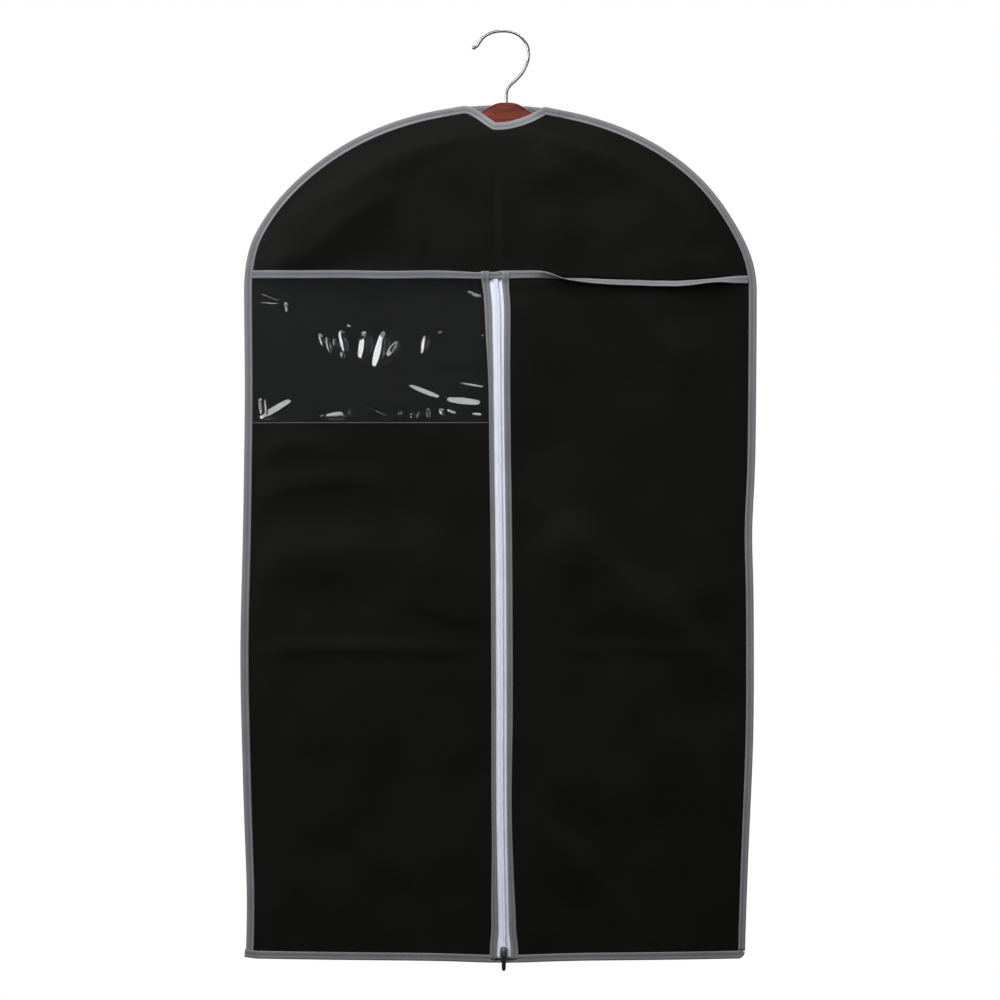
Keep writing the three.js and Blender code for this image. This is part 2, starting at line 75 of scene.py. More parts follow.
# ---- sizes, in millimetres


def corners(node):
    low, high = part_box(node)
    return np.array(low) * 1000, np.array(high) * 1000


hem_low, hem_high = corners("hem_binding")
CENTRE_X = (hem_low[0] + hem_high[0]) / 2
HALF = (hem_high[0] - hem_low[0]) / 2
BOTTOM = hem_low[2]
TOP = corners("edge_binding")[1][2]
SEAM = corners("yoke_seam_binding")[0][2]
WINDOW_BOTTOM = corners("window")[0][2]
slider_low, slider_high = corners("slider_body")
SLIDER_X = (slider_low[0] + slider_high[0]) / 2
joint = {j["name"]: j for j in frame["joints"]}
PIVOT = np.array(joint["pull_swing"]["pos_m"]) * 1000
HOOK_X = joint["hook_swivel"]["pos_m"][0] * 1000

RISE = 217  # of the shoulders' curve
BASE = TOP - RISE
HEM_DEPTH = 1.2  # half depth of the bag at the hem
SHOULDER_DEPTH = 14.2
SHOULDER_Z = -181
DEPTH_SLOPE = (SHOULDER_DEPTH - HEM_DEPTH) / (SHOULDER_Z - BOTTOM)
NECK_X = 7
NECK_DEPTH = 7.6
NECK_FLAT = 32
NECK_FADE = 53
NECK_REACH = 62  # beyond this one tape holds front and back together
CLOTH = 0.5
FILM = 0.25
TAPE = 0.55
TAPE_WIDTH = 9.3
FOLD = 1.1
rng = np.random.default_rng(7)

# ---- shapes of the bag


def smooth(a, b, v):
    t = np.clip((np.asarray(v, float) - a) / (b - a), 0, 1)
    return t * t * (3 - 2 * t)


def bump(v, centre, width):
    return np.exp(-(((np.asarray(v, float) - centre) / width) ** 2))


def unit(vectors):
    return vectors / np.linalg.norm(vectors, axis=-1, keepdims=True)


def travelled(line):
    """Length along a line at each of its points."""
    return np.concatenate([[0], np.cumsum(np.linalg.norm(np.diff(line, axis=0), axis=1))])


def points_at(line, distances):
    """Points of a line at distances along it."""
    run = travelled(line)
    return np.stack([np.interp(distances, run, values) for values in line.T], -1)


def resample(line, step):
    line = np.asarray(line, float)
    length = travelled(line)[-1]
    return points_at(line, np.linspace(0, length, max(2, int(math.ceil(length / step)) + 1)))


def spline(points, step):
    """A smooth line through the points."""
    p = np.array(points, float)
    ext = np.vstack([2 * p[0] - p[1], p, 2 * p[-1] - p[-2]])
    t = np.linspace(0, 1, 24, endpoint=False)[:, None]
    out = []
    for i in range(len(p) - 1):
        a, b, c, d = ext[i : i + 4]
        bend = (2 * a - 5 * b + 4 * c - d) * t**2 + (3 * b - a - 3 * c + d) * t**3
        out.append((2 * b + (c - a) * t + bend) / 2)
    out.append(p[-1:])
    return resample(np.vstack(out), step)


def inset(x, z):
    """Distance from the bag's outline, inwards."""
    up = np.maximum(z - BASE, 0)
    form = (x / HALF) ** 2 + (up / RISE) ** 2
    slope = 2 * np.sqrt((x / HALF**2) ** 2 + (up / RISE**2) ** 2) + 1e-9
    return np.where(z > BASE, (1 - form) / slope, HALF - np.abs(x))


def zip_x(z):
    return 8 * ((SEAM - z) / (SEAM - BOTTOM) - 0.5)


def zip_half_gap(z):
    """From the middle of the zip to the folded edge of its bindings."""
    return 6.2 + 1.1 * smooth(-420, -300, z) + 2.2 * smooth(-1044, -1074, z)


def ridge(x, z, line, height, width, skew=1.0):
    """A rounded fold along a line, dying away at its ends. skew scales its reach to the left."""
    line = np.array(line, float)
    best = np.full(np.shape(x), 1e9)
    run = np.zeros(np.shape(x))
    side = np.zeros(np.shape(x))
    total = 0.0
    for p, q in zip(line[:-1], line[1:]):
        d = q - p
        length = np.hypot(*d)
        t = np.clip(((x - p[0]) * d[0] + (z - p[1]) * d[1]) / length**2, 0, 1)
        ex, ez = x - p[0] - t * d[0], z - p[1] - t * d[1]
        away = np.hypot(ex, ez)
        closer = away < best
        best = np.where(closer, away, best)
        run = np.where(closer, total + t * length, run)
        side = np.where(closer, d[0] * ez - d[1] * ex, side)
        total += length
    along = np.sin(np.pi * np.clip(run / total, 0.02, 0.98)) ** 0.6
    reach = np.where(side > 0, width * skew, width)
    return height * along * np.exp(-((best / reach) ** 2))


def swell(x, z, cx, cz, rx, rz, height):
    return height * np.exp(-(((x - cx) / rx) ** 2) - ((z - cz) / rz) ** 2)


def wave_set(count, shortest, longest, steepness):
    """Plain waves of many lengths and directions, for the cloth's slack."""
    waves = []
    for _ in range(count):
        length = shortest * (longest / shortest) ** rng.random()
        angle = rng.random() * math.pi
        phase = rng.random() * 2 * math.pi
        k = 2 * math.pi / length
        waves.append((k * math.cos(angle), k * math.sin(angle), phase, steepness / k))
    return waves


def ripple(x, z, waves):
    total = 0
    for kx, kz, phase, height in waves:
        total = total + height * np.sin(kx * x + kz * z + phase)
    return total


FRONT_WAVES = wave_set(16, 70, 300, 0.016)
BACK_WAVES = wave_set(16, 70, 300, 0.022)
FILM_WAVES = wave_set(12, 26, 90, 0.010)
TAPE_WAVES = wave_set(5, 60, 180, 0.02)

FRONT_FOLDS = [
    # line, height, width, skew
    ([(-5, -150), (-6, -215), (-5, -284)], -1.5, 6, 1),
    ([(5, -150), (4, -215), (4, -284)], 1.0, 8, 1),
    ([(40, -128), (70, -190), (96, -250)], 3.6, 17, 1.4),
    ([(-92, -178), (-96, -235), (-94, -282)], 1.6, 12, 1),
    ([(-30, -118), (-95, -148), (-185, -200), (-240, -250)], 2.4, 22, 1.6),
    ([(-120, -185), (-180, -220), (-232, -270)], 2.4, 14, 1.3),
    ([(45, -118), (110, -142), (190, -196)], 2.2, 20, 1.5),
    ([(-293, -492), (-240, -482), (-190, -492)], 1.7, 10, 1.5),
    ([(-293, -546), (-246, -531), (-176, -523), (-120, -535)], 2.2, 11, 1.6),
    ([(-120, -660), (-60, -678), (-14, -690)], 2.6, 12, 1.4),
    ([(-292, -722), (-180, -719), (-12, -722)], 2.3, 10, 1.0),
    ([(24, -722), (150, -720), (291, -722)], 0.8, 9, 1.0),
    ([(52, -562), (130, -630), (212, -698), (290, -785)], 9.0, 40, 0.55),
    ([(20, -898), (72, -948), (118, -1004), (150, -1064)], 4.5, 26, 0.6),
    ([(180, -340), (205, -380), (214, -450)], 3.2, 16, 1.3),
    ([(-285, -760), (-240, -790), (-225, -850)], 2.0, 16, 1.4),
    ([(-200, -930), (-110, -985), (-40, -1050)], 1.8, 16, 1.3),
    ([(225, -800), (262, -880), (270, -960)], 1.6, 14, 1.3),
]
BACK_FOLDS = [([(-285, level), (0, level + 3), (285, level)], 1.7, 11) for level in (-400, -722, -905)]
BACK_FOLDS += [
    ([(4, -200), (-2, -500), (3, -1040)], 1.5, 12),
    ([(-190, -215), (-120, -330), (-90, -520)], 2.0, 20, 1.4),
    ([(195, -215), (150, -360), (60, -610)], 2.0, 20, 1.4),
]
FRONT_SWELLS = [
    # centre x, z, radius x, z, height
    (-249, -268, 24, 20, 3.6),
    (58, -163, 28, 20, 2.0),
    (240, -252, 22, 16, -2.0),
    (-205, -612, 90, 34, 5.0),
    (-82, -640, 40, 22, 2.4),
    (209, -425, 45, 60, 2.0),
    (238, -655, 34, 34, 2.6),
    (-120, -810, 90, 60, 2.4),
    (150, -830, 80, 70, 2.4),
]


def hanger_line(x):
    """Height of the hanger's arms' upper edge, in the bag's own x."""
    reach = np.abs(x + CENTRE_X - HOOK_X)
    return np.interp(reach, [0, 12, 38, 100, 160, 207], [-83, -85.5, -98, -118, -145, -180])


def arm_bulge(x, z):
    """The cloth lies over the hanger's arms."""
    reach = np.abs(x + CENTRE_X - HOOK_X)
    lower = z - (hanger_line(x) - 16)
    return 1.8 * np.exp(-((lower / 17) ** 2)) * (1 - smooth(150, 225, reach)) * smooth(25, 70, reach)


def relief(x, z, waves, folds, swells=()):
    """The cloth's slack, which falls to nothing at the bound edges."""
    total = ripple(x, z, waves) + arm_bulge(x, z)
    for fold in folds:
        total = total + ridge(x, z, *fold)
    for raised in swells:
        total = total + swell(x, z, *raised)
    return total * smooth(8, 42, inset(x, z)) * smooth(BOTTOM + 14, BOTTOM + 62, z)


def calm(x, z):
    """The front lies flatter at the zip and at the yoke's seam."""
    at_zip = 1 - 0.8 * bump(x, zip_x(z), 24) * smooth(SEAM + 6, SEAM - 10, z)
    return at_zip * (1 - 0.75 * bump(z, SEAM, 18))


def fullness(x, z):
    """Half depth of the bag, from the hanger inside it and the room towards the hem."""
    reach = 15 + 35 * smooth(-200, -330, z)
    i = inset(x, z) - 8
    share = 1 - np.exp(-(i + np.sqrt(i**2 + 4) - 0.3).clip(0) / 2 / reach)
    body = (HEM_DEPTH + DEPTH_SLOPE * (z - BOTTOM)) * share
    window = 0.5 + 0.5 * np.cos(np.pi * np.clip((np.abs(x - NECK_X) - NECK_FLAT) / NECK_FADE, 0, 1))
    neck = NECK_DEPTH * window * smooth(-215, -125, z)
    return 0.2 + (body**4 + neck**4) ** 0.25


def front_depth(x, z):
    return fullness(x, z) + relief(x, z, FRONT_WAVES, FRONT_FOLDS, FRONT_SWELLS) * calm(x, z)


def back_depth(x, z):
    return fullness(x, z) + relief(x, z, BACK_WAVES, BACK_FOLDS)


def seam_line(x):
    """The yoke's lower edge sags a little to the right of the zip."""
    across = [40, 70, 100, 140, 178, 205, 250, 278, 300]
    return SEAM + np.interp(x, across, [0, 0.3, 0.6, -1.6, -3.4, -3.0, 0.6, 3.0, 3.4])


ZIP_SWAY = spline(  # height and sideways shift of the zip
    [
        (-1090, 0), (-1040, -0.2), (-910, -1.2), (-760, 0.1), (-600, 0.9), (-480, 0.5), (-360, 0.6),
        (-325, 0.7), (-308, -0.2), (-292, -1.5), (-270, -1.6),
    ],
    2.0,
)


def drift(points):
    """The sewn bag isn't quite regular: its sides wander and the hem hangs in a shallow curve."""
    x, z = points[:, 0].copy(), points[:, 2].copy()
    t = (BASE - z) / (BASE - BOTTOM)
    up = np.maximum(z - BASE, 0)
    half = np.maximum(HALF * np.sqrt(np.maximum(1 - (up / RISE) ** 2, 0)), 60)
    share = np.clip(np.abs(x) / half, 0, 1.03) ** 3
    left = 4.2 * bump(t, 0.55, 0.17) - 3.4 * bump(t, 0.92, 0.11) - 1.0 * bump(t, 0.15, 0.1)
    left = left - 4.0 * bump(up, 150, 55) + 1.5 * bump(up, 55, 25)
    right = 3.2 * bump(t, 0.66, 0.16) - 2.6 * bump(t, 0.36, 0.07) - 14 * np.clip(t, 0, 1) ** 1.6
    right = right - 3.5 * bump(up, 150, 55) - 5.0 * bump(up, 85, 45)
    sway = np.interp(z, ZIP_SWAY[:, 0], ZIP_SWAY[:, 1])
    out = points.copy()
    out[:, 0] = x + np.where(x < 0, -left, right) * share + sway * bump(x, 0, 70)
    hem = -1.6 + 2.3 * (np.abs(x) / 270) ** 2 + 1.5 * smooth(-285, -302, x)
    out[:, 2] = z + hem * smooth(-960, BOTTOM, z)
    return out


# ---- meshes


def build(name, points, faces, material, sewn=True, marks=None, weld=0.0):
    """points in millimetres. Those of a sewn piece are measured from the bag's middle."""
    points = np.asarray(points, float).reshape(-1, 3)
    if sewn:
        points = drift(points) + [CENTRE_X, 0, 0]
    mesh = bpy.data.meshes.new(name)
    mesh.from_pydata((points / 1000).tolist(), [], [list(map(int, f)) for f in faces])
    if marks is not None:
        mark = mesh.attributes.new("mark", "FLOAT", "POINT")
        mark.data.foreach_set("value", np.asarray(marks, np.float32))
    work = bmesh.new()
    work.from_mesh(mesh)
    if weld:
        bmesh.ops.remove_doubles(work, verts=work.verts, dist=weld / 1000)
    bmesh.ops.recalc_face_normals(work, faces=work.faces)
    work.to_mesh(mesh)
    work.free()
    mesh.materials.append(material)
    mesh.polygons.foreach_set("use_smooth", np.ones(len(mesh.polygons), bool))
    obj = bpy.data.objects.new(name, mesh)
    scene.collection.objects.link(obj)
    return obj


def grid_faces(rows, cols, ring=False):
    """Faces of a grid of points. ring closes each row on itself."""
    ids = np.arange(rows * cols).reshape(rows, cols)
    if ring:
        ids = np.hstack([ids, ids[:, :1]])
    return np.stack([ids[:-1, :-1], ids[:-1, 1:], ids[1:, 1:], ids[1:, :-1]], -1).reshape(-1, 4)


def circle(count):
    return np.arange(count) * 2 * math.pi / count


def slab(outer, inner):
    """A closed sheet between two grids of points."""
    rows, cols = outer.shape[:2]
    n = rows * cols
    ids = np.arange(n).reshape(rows, cols)
    skin = grid_faces(rows, cols)
    loop = np.concatenate([ids[0, :-1], ids[:-1, -1], ids[-1, :0:-1], ids[:0:-1, 0]])
    after = np.roll(loop, -1)
    rim = np.stack([after, loop, loop + n, after + n], 1)
    return (
        np.concatenate([outer.reshape(-1, 3), inner.reshape(-1, 3)]),
        np.concatenate([skin, skin[:, ::-1] + n, rim]),
    )


def front_sheet(x, z, thickness, lift=0.0, depth=front_depth):
    inner = depth(x, z) + lift
    return slab(
        np.stack([x, -(inner + thickness), z], -1),
        np.stack([x, -inner, z], -1),
    )


def capped(rows, around):
    """Faces of a run of closed rings, with a face at each end."""
    faces = grid_faces(rows, around, ring=True).tolist()
    faces.append(list(range(around - 1, -1, -1)))
    faces.append(list(range((rows - 1) * around, rows * around)))
    return faces


def merged(parts):
    """Joins (points, faces, marks) lists into one."""
    points, faces, marks, start = [], [], [], 0
    for p, f, m in parts:
        p = np.asarray(p, float).reshape(-1, 3)
        points.append(p)
        faces.extend([int(i) + start for i in face] for face in f)
        marks.append(np.zeros(len(p)) if m is None else m)
        start += len(p)
    return np.concatenate(points), faces, np.concatenate(marks)


LEG = 11  # points across one leg of a tape
GROOVE = 0.15  # half width of the groove's painted shade, as a share of the leg
LINING = 0.03  # a tape's inner faces stand this far off the cloth


def folded_tape(line, inward, width, front, back, fold=FOLD, front_width=None):
    """A tape folded over an edge. line is the fold, inward points into the cloth, and front and
    back give the y of the faces that it wraps. Gives points, faces, marks for the painted shade
    in the sewn groove, and both stitch lines."""
    n = len(line)
    width = np.broadcast_to(np.asarray(width, float), (n,))[:, None]
    front_width = width if front_width is None else np.asarray(front_width, float)[:, None]
    u = np.linspace(0, 1, LEG)
    swelling = 0.12 * (bump(u, 0.2, 0.14) + bump(u, 0.8, 0.14))  # to both sides of the groove
    rise = TAPE * (1 - 0.38 * bump(u, 0.5, 0.13) + swelling - 0.5 * smooth(0.9, 1, u))
    # painted shade: the mask of where the colour darkens along the groove
    groove_shade = bump(u, 0.5, GROOVE)

    def at(s, face, lift):
        """Points at distances s in from the fold, lifted off a face."""
        x, z = line[:, :1] + s * inward[:, :1], line[:, 1:] + s * inward[:, 1:]
        return np.stack([x, face(x, z) + lift, z], -1)

    def leg(share, reach, face, lift):
        return at(fold + (reach - fold) * share, face, lift)

    front_leg = leg(u, front_width, front, -rise)
    back_leg = leg(u, width, back, rise)
    angle = np.linspace(0, math.pi, 8)[1:-1]
    middle = (front_leg[:, :1, 1] + back_leg[:, :1, 1]) / 2
    y_arc = middle + (front_leg[:, :1, 1] - middle) * np.cos(angle)
    arc = at(fold - fold * np.sin(angle), lambda x, z: y_arc, 0)
    inside = np.array([1, 0.5, 0])
    back_lining = leg(inside, width, back, LINING)
    front_lining = leg(inside[::-1], front_width, front, -LINING)
    points = np.concatenate([front_leg[:, ::-1], arc, back_leg, back_lining, front_lining], 1)
    plain = np.zeros(len(angle))
    marks = np.concatenate([groove_shade[::-1], plain, groove_shade, np.zeros(2 * len(inside))])
    lines = [front_leg[:, LEG // 2], back_leg[:, LEG // 2]]
    return points, capped(n, points.shape[1]), np.tile(marks, n), lines


STITCH_PITCH = 3.3
STITCH_RINGS = np.array([-1.25, -0.85, 0, 0.85, 1.25])  # along each stitch
STITCH_RISE = np.array([-0.28, 0.08, 0.2, 0.08, -0.28])
STITCH_RADIUS = np.array([0.16, 0.25, 0.28, 0.25, 0.16])


def stitches(name, lines, material):
    """Separate rounded stitches along lines of (points, outward y sign)."""
    parts = []
    sides = 6
    turn = circle(sides)
    for line, sign in lines:
        length = travelled(line)[-1]
        count = int((length - 2) / STITCH_PITCH)
        if count < 1:
            continue
        middle = (np.arange(count) + 0.5) * (length / count)
        ahead = unit(points_at(line, middle + 1) - points_at(line, middle - 1))
        up = unit(np.array([0, sign, 0.0]) - ahead * (ahead[:, 1:2] * sign))
        across = np.cross(ahead, up)
        spots = points_at(line, middle)[:, None] + ahead[:, None] * STITCH_RINGS[:, None]
        spots = spots + up[:, None] * STITCH_RISE[:, None]
        around = up[:, None] * np.cos(turn)[:, None] + across[:, None] * np.sin(turn)[:, None]
        rings = spots[:, :, None] + around[:, None] * STITCH_RADIUS[:, None, None]
        per = len(STITCH_RINGS) * sides
        one = capped(len(STITCH_RINGS), sides)
        faces = [[i + k * per for i in face] for k in range(count) for face in one]
        parts.append((rings, faces, None))
    points, faces, _ = merged(parts)
    return build(name, points, faces, material)


def tube(line, radius, sides=16, side=(0, 1.0, 0)):
    """A round bar along a line, radius a number or one per point. side is where each ring
    starts, one direction or one per point."""
    line = np.asarray(line, float)
    n = len(line)
    radius = np.broadcast_to(np.asarray(radius, float), (n,))
    ahead = unit(np.gradient(line, axis=0))
    side = np.broadcast_to(np.asarray(side, float), line.shape)
    a = unit(side - ahead * np.sum(ahead * side, axis=1)[:, None])
    b = np.cross(ahead, a)
    turn = circle(sides)
    ring = a[:, None] * np.cos(turn)[:, None] + b[:, None] * np.sin(turn)[:, None]
    return line[:, None] + ring * radius[:, None, None], capped(n, sides), None


def plate(outline, y_front, y_back, bevel, hole=None):
    """A flat plate with rounded edges from an outline in (x, z), with an optional hole."""
    curve = bpy.data.curves.new("plate", "CURVE")
    curve.dimensions = "2D"
    curve.fill_mode = "BOTH"
    curve.extrude = (y_back - y_front) / 2 - bevel
    curve.bevel_depth = bevel
    curve.offset = -bevel
    curve.bevel_resolution = 3
    for loop in [outline] + ([hole] if hole is not None else []):
        track = curve.splines.new("POLY")
        track.points.add(len(loop) - 1)
        for point, (x, z) in zip(track.points, loop):
            point.co = (x, z, 0, 1)
        track.use_cyclic_u = True
    holder = bpy.data.objects.new("plate", curve)
    scene.collection.objects.link(holder)
    bpy.context.view_layer.update()
    mesh = bpy.data.meshes.new_from_object(holder.evaluated_get(bpy.context.evaluated_depsgraph_get()))
    points = np.array([v.co[:] for v in mesh.vertices])
    faces = [list(p.vertices) for p in mesh.polygons]
    bpy.data.objects.remove(holder)
    bpy.data.curves.remove(curve)
    bpy.data.meshes.remove(mesh)
    middle = (y_front + y_back) / 2
    return np.stack([points[:, 0], middle - points[:, 2], points[:, 1]], 1), faces, None


def rounded(x0, x1, z0, z1, radius, steps=5):
    """The outline of a rectangle with rounded corners."""
    out = []
    for cx, cz, start in (
        (x1 - radius, z1 - radius, 0),
        (x0 + radius, z1 - radius, 90),
        (x0 + radius, z0 + radius, 180),
        (x1 - radius, z0 + radius, 270),
    ):
        for k in range(steps + 1):
            a = math.radians(start + 90 * k / steps)
            out.append((cx + radius * math.cos(a), cz + radius * math.sin(a)))
    return out


def mirrored(half):
    """Closes the right half of an outline, listed from top to bottom, about x = 0."""
    return [(-x, z) for x, z in half[::-1] if x > 1e-6] + list(half)


# ---- finishes


class Nodes:
    """Adds nodes to one tree. A value that comes from another node is linked, a plain one is set."""

    def __init__(self, tree):
        self.tree = tree

    def plug(self, value, socket):
        if isinstance(value, bpy.types.NodeSocket):
            self.tree.links.new(value, socket)
        else:
            socket.default_value = value

    def add(self, kind, settings=None, **inputs):
        node = self.tree.nodes.new("ShaderNode" + kind)
        for key, value in (settings or {}).items():
            setattr(node, key, value)
        for key, value in inputs.items():
            self.plug(value, node.inputs[key.replace("_", " ")])
        return node

    def ramp(self, factor, *stops):
        node = self.add("ValToRGB", Fac=factor)
        marks = node.color_ramp.elements
        while len(marks) < len(stops):
            marks.new(0.5)
        for mark, (position, colour) in zip(marks, stops):
            mark.position = position
            mark.color = (*colour, 1) if hasattr(colour, "__len__") else (colour, colour, colour, 1)
        return node.outputs["Color"]

    def math(self, operation, a, b):
        node = self.add("Math", {"operation": operation})
        self.plug(a, node.inputs[0])
        self.plug(b, node.inputs[1])
        return node.outputs[0]


class Finish(Nodes):
    """A node material around one shader."""

    def __init__(self, name, **inputs):
        self.material = bpy.data.materials.new(name)
        self.material.use_nodes = True
        super().__init__(self.material.node_tree)
        self.shader = self.tree.nodes["Principled BSDF"]
        for key, value in inputs.items():
            self.plug(value, self.shader.inputs[key.replace("_", " ")])
        self.place = self.add("TexCoord").outputs["Object"]

    def scaled(self, x, y, z):
        return self.add("Mapping", Vector=self.place, Scale=(x, y, z)).outputs[0]

    def noise(self, scale, detail=3.0, roughness=0.5, place=None):
        place = place or self.place
        node = self.add("TexNoise", Vector=place, Scale=scale, Detail=detail, Roughness=roughness)
        return node.outputs["Fac"]

    def cells(self, scale, randomness):
        node = self.add("TexVoronoi", Vector=self.place, Scale=scale, Randomness=randomness)
        return node.outputs["Distance"]

    def blend(self, share, colour, other):
        """Colour with a share of another one, which is three plain numbers."""
        node = self.add("Mix", {"data_type": "RGBA"})
        for index, value in ((0, share), (6, colour), (7, (*other, 1))):
            self.plug(value, node.inputs[index])
        return node.outputs[2]

    def mark(self):
        # the mask of the painted shade along the tapes' grooves
        return self.add("Attribute", {"attribute_name": "mark"}).outputs["Fac"]

    def bump(self, height, depth, strength):
        return self.add("Bump", Height=height, Distance=depth, Strength=strength).outputs["Normal"]

    def finish(self, colour=None, roughness=None, normal=None):
        for value, name in ((colour, "Base Color"), (roughness, "Roughness"), (normal, "Normal")):
            if value is not None:
                self.tree.links.new(value, self.shader.inputs[name])
        return self.material


def black_cloth():
    """Spun-bonded cloth: matt black with a faint embossed dot and a cloudy lay of fibres."""
    f = Finish("black_cloth", Specular_IOR_Level=0.045)
    cloud = f.noise(9, 5, 0.6)
    fibre = f.noise(420, 3, 0.6)
    dots = f.cells(760, randomness=0.35)
    colour = f.ramp(cloud, (0.3, (0.0030, 0.0030, 0.0028)), (0.72, (0.0043, 0.0043, 0.0040)))
    lit = f.blend(f.math("MULTIPLY", fibre, 0.3), colour, (0.0062, 0.0062, 0.0058))
    rough = f.ramp(f.noise(35, 4), (0.3, 0.46), (0.75, 0.54))
    height = f.math("ADD", f.math("MULTIPLY", dots, 0.7), f.math("MULTIPLY", fibre, 0.8))
    return f.finish(lit, rough, f.bump(height, 0.00018, 0.4))


def grey_tape(name, shade=1.0):
    """Folded binding tape: a fine weave, and painted shade along the sewn groove."""
    f = Finish(name, Specular_IOR_Level=0.3)
    cloud = f.noise(24, 4, 0.6)
    threads = f.cells(1500, randomness=0.5)
    # shade scales both colours: above 1 it gives a lighter copy, which paints light
    dark, light = (tuple(shade * c for c in grey) for grey in ((0.102, 0.103, 0.110), (0.128, 0.129, 0.138)))
    colour = f.ramp(cloud, (0.3, dark), (0.7, light))
    # painted shade: the colour darkens along the sewn groove, where the mark is
    groove = f.blend(f.math("MULTIPLY", f.mark(), 0.55), colour, (0.052, 0.052, 0.055))
    speck = f.blend(f.math("MULTIPLY", f.noise(700, 2), 0.25), groove, (0.09, 0.092, 0.10))
    rough = f.ramp(cloud, (0.3, 0.6), (0.7, 0.75))
    return f.finish(speck, rough, f.bump(threads, 0.00012, 0.5))


def white_tape():
    """Woven zip tape with a fine rib."""
    f = Finish("white_tape", Specular_IOR_Level=0.35)
    waves = f.add("TexWave", {"bands_direction": "Z"}, Vector=f.place, Scale=520, Distortion=1.5, Detail=1.0)
    rib = waves.outputs["Fac"]
    cloud = f.noise(30, 3)
    colour = f.ramp(cloud, (0.3, (0.46, 0.475, 0.55)), (0.7, (0.53, 0.545, 0.62)))
    shade = f.blend(f.math("MULTIPLY", rib, 0.18), colour, (0.36, 0.37, 0.45))
    return f.finish(shade, f.ramp(cloud, (0, 0.6), (1, 0.72)), f.bump(rib, 0.0001, 0.6))


def clear_film():
    """Thin clear vinyl with handling marks."""
    tint = (0.93, 0.95, 0.97, 1)
    f = Finish("clear_film", Base_Color=tint, Transmission_Weight=0.9972, IOR=1.48, Specular_IOR_Level=0.5)
    marks = f.noise(55, 4, 0.7, f.scaled(1, 1, 0.4))
    dimples = f.bump(f.noise(160, 2), 0.00006, 0.15)
    return f.finish(None, f.ramp(marks, (0.35, 0.02), (0.8, 0.09)), dimples)


def mottled(name, noise, colours, roughness, grain, **inputs):
    """Colour and gloss that vary together, with a fine bump of grain's scale, depth and strength."""
    f = Finish(name, **inputs)
    mottle = f.noise(*noise)
    scale, depth, strength = grain
    fine = f.bump(f.noise(scale, 2), depth, strength)
    return f.finish(f.ramp(mottle, *colours), f.ramp(mottle, *roughness), fine)


def thread(name, dark, light):
    f = Finish(name, Specular_IOR_Level=0.35)
    twist = f.noise(1800, 2)
    return f.finish(f.ramp(twist, (0.3, dark), (0.7, light)), f.ramp(twist, (0, 0.5), (1, 0.7)))


def steel():
    f = Finish("steel", Metallic=1.0)
    turned = f.noise(700, 3, 0.6, f.scaled(1, 1, 0.1))
    colour = f.ramp(turned, (0.3, (0.40, 0.40, 0.41)), (0.75, (0.58, 0.58, 0.60)))
    return f.finish(colour, f.ramp(turned, (0.3, 0.28), (0.8, 0.42)), f.bump(turned, 0.00003, 0.5))


def cherry_wood():
    """Reddish lacquered wood, its grain running out along the arms."""
    f = Finish("cherry_wood", Coat_Weight=0.08, Coat_Roughness=0.3, Specular_IOR_Level=0.12)
    long = f.scaled(5, 42, 42)
    bands = f.noise(3.2, 6, 0.62, long)
    streaks = f.noise(20, 4, 0.7, f.scaled(3, 60, 60))
    colour = f.ramp(
        bands,
        (0.30, (0.022, 0.0030, 0.0018)),
        (0.46, (0.060, 0.0095, 0.0052)),
        (0.58, (0.104, 0.022, 0.0105)),
        (0.74, (0.034, 0.0048, 0.0028)),
    )
    pores = f.blend(f.ramp(streaks, (0.52, 0.0), (0.72, 0.75)), colour, (0.016, 0.0035, 0.002))
    return f.finish(pores, f.ramp(streaks, (0.3, 0.36), (0.7, 0.5)), f.bump(streaks, 0.00012, 0.25))


def floor_finish():
    """A pale floor that ends in a soft edge."""
    f = Finish("floor", Specular_IOR_Level=0.2)
    away = f.add("VectorMath", {"operation": "LENGTH"}, Vector=f.place).outputs["Value"]
    cloud = f.noise(3, 3)
    f.plug(f.ramp(away, (0.62, 1.0), (0.94, 0.0)), f.shader.inputs["Alpha"])
    return f.finish(f.ramp(cloud, (0.3, 0.79), (0.7, 0.82)), f.ramp(cloud, (0, 0.8), (1, 0.9)))


CLOTH_FINISH = black_cloth()
TAPE_FINISH = grey_tape("grey_tape")
# The neck's tape is the same tape in a lighter copy: painted light.
NECK_FINISH = grey_tape("grey_tape_neck_painted_light", 1.18)
ZIP_FINISH = white_tape()
COIL_FINISH = mottled(
    "white_coil",
    (300, 2),
    ((0.3, (0.62, 0.63, 0.73)), (0.7, (0.68, 0.69, 0.79))),
    ((0, 0.3), (1, 0.42)),
    (300, 0.00004, 0.4),
)
FILM_FINISH = clear_film()
GREY_THREAD = thread("grey_thread", (0.075, 0.076, 0.082), (0.13, 0.131, 0.14))
# thread for the window's seam, made pale partly to paint the seam's highlight
PALE_THREAD = thread("pale_thread", (0.16, 0.16, 0.17), (0.26, 0.26, 0.27))
SLIDER_FINISH = mottled(  # gunmetal plating, paler where it is handled
    "slider_metal",
    (420, 5, 0.65),
    ((0.35, (0.22, 0.215, 0.225)), (0.75, (0.46, 0.455, 0.47))),
    ((0.3, 0.42), (0.8, 0.26)),
    (900, 0.00003, 0.4),
    Metallic=0.9,
)
PULL_FINISH = mottled(  # the same, nearly black
    "pull_metal",
    (260, 5, 0.65),
    ((0.4, (0.011, 0.010, 0.009)), (0.85, (0.045, 0.040, 0.036))),
    ((0.3, 0.34), (0.8, 0.5)),
    (700, 0.00004, 0.4),
    Metallic=0.55,
)
CHROME = mottled(
    "chrome",
    (60, 4, 0.6),
    ((0.3, (0.40, 0.40, 0.41)), (0.75, (0.50, 0.50, 0.515))),
    ((0.35, 0.10), (0.8, 0.16)),
    (500, 0.00001, 0.3),
    Metallic=1.0,
)
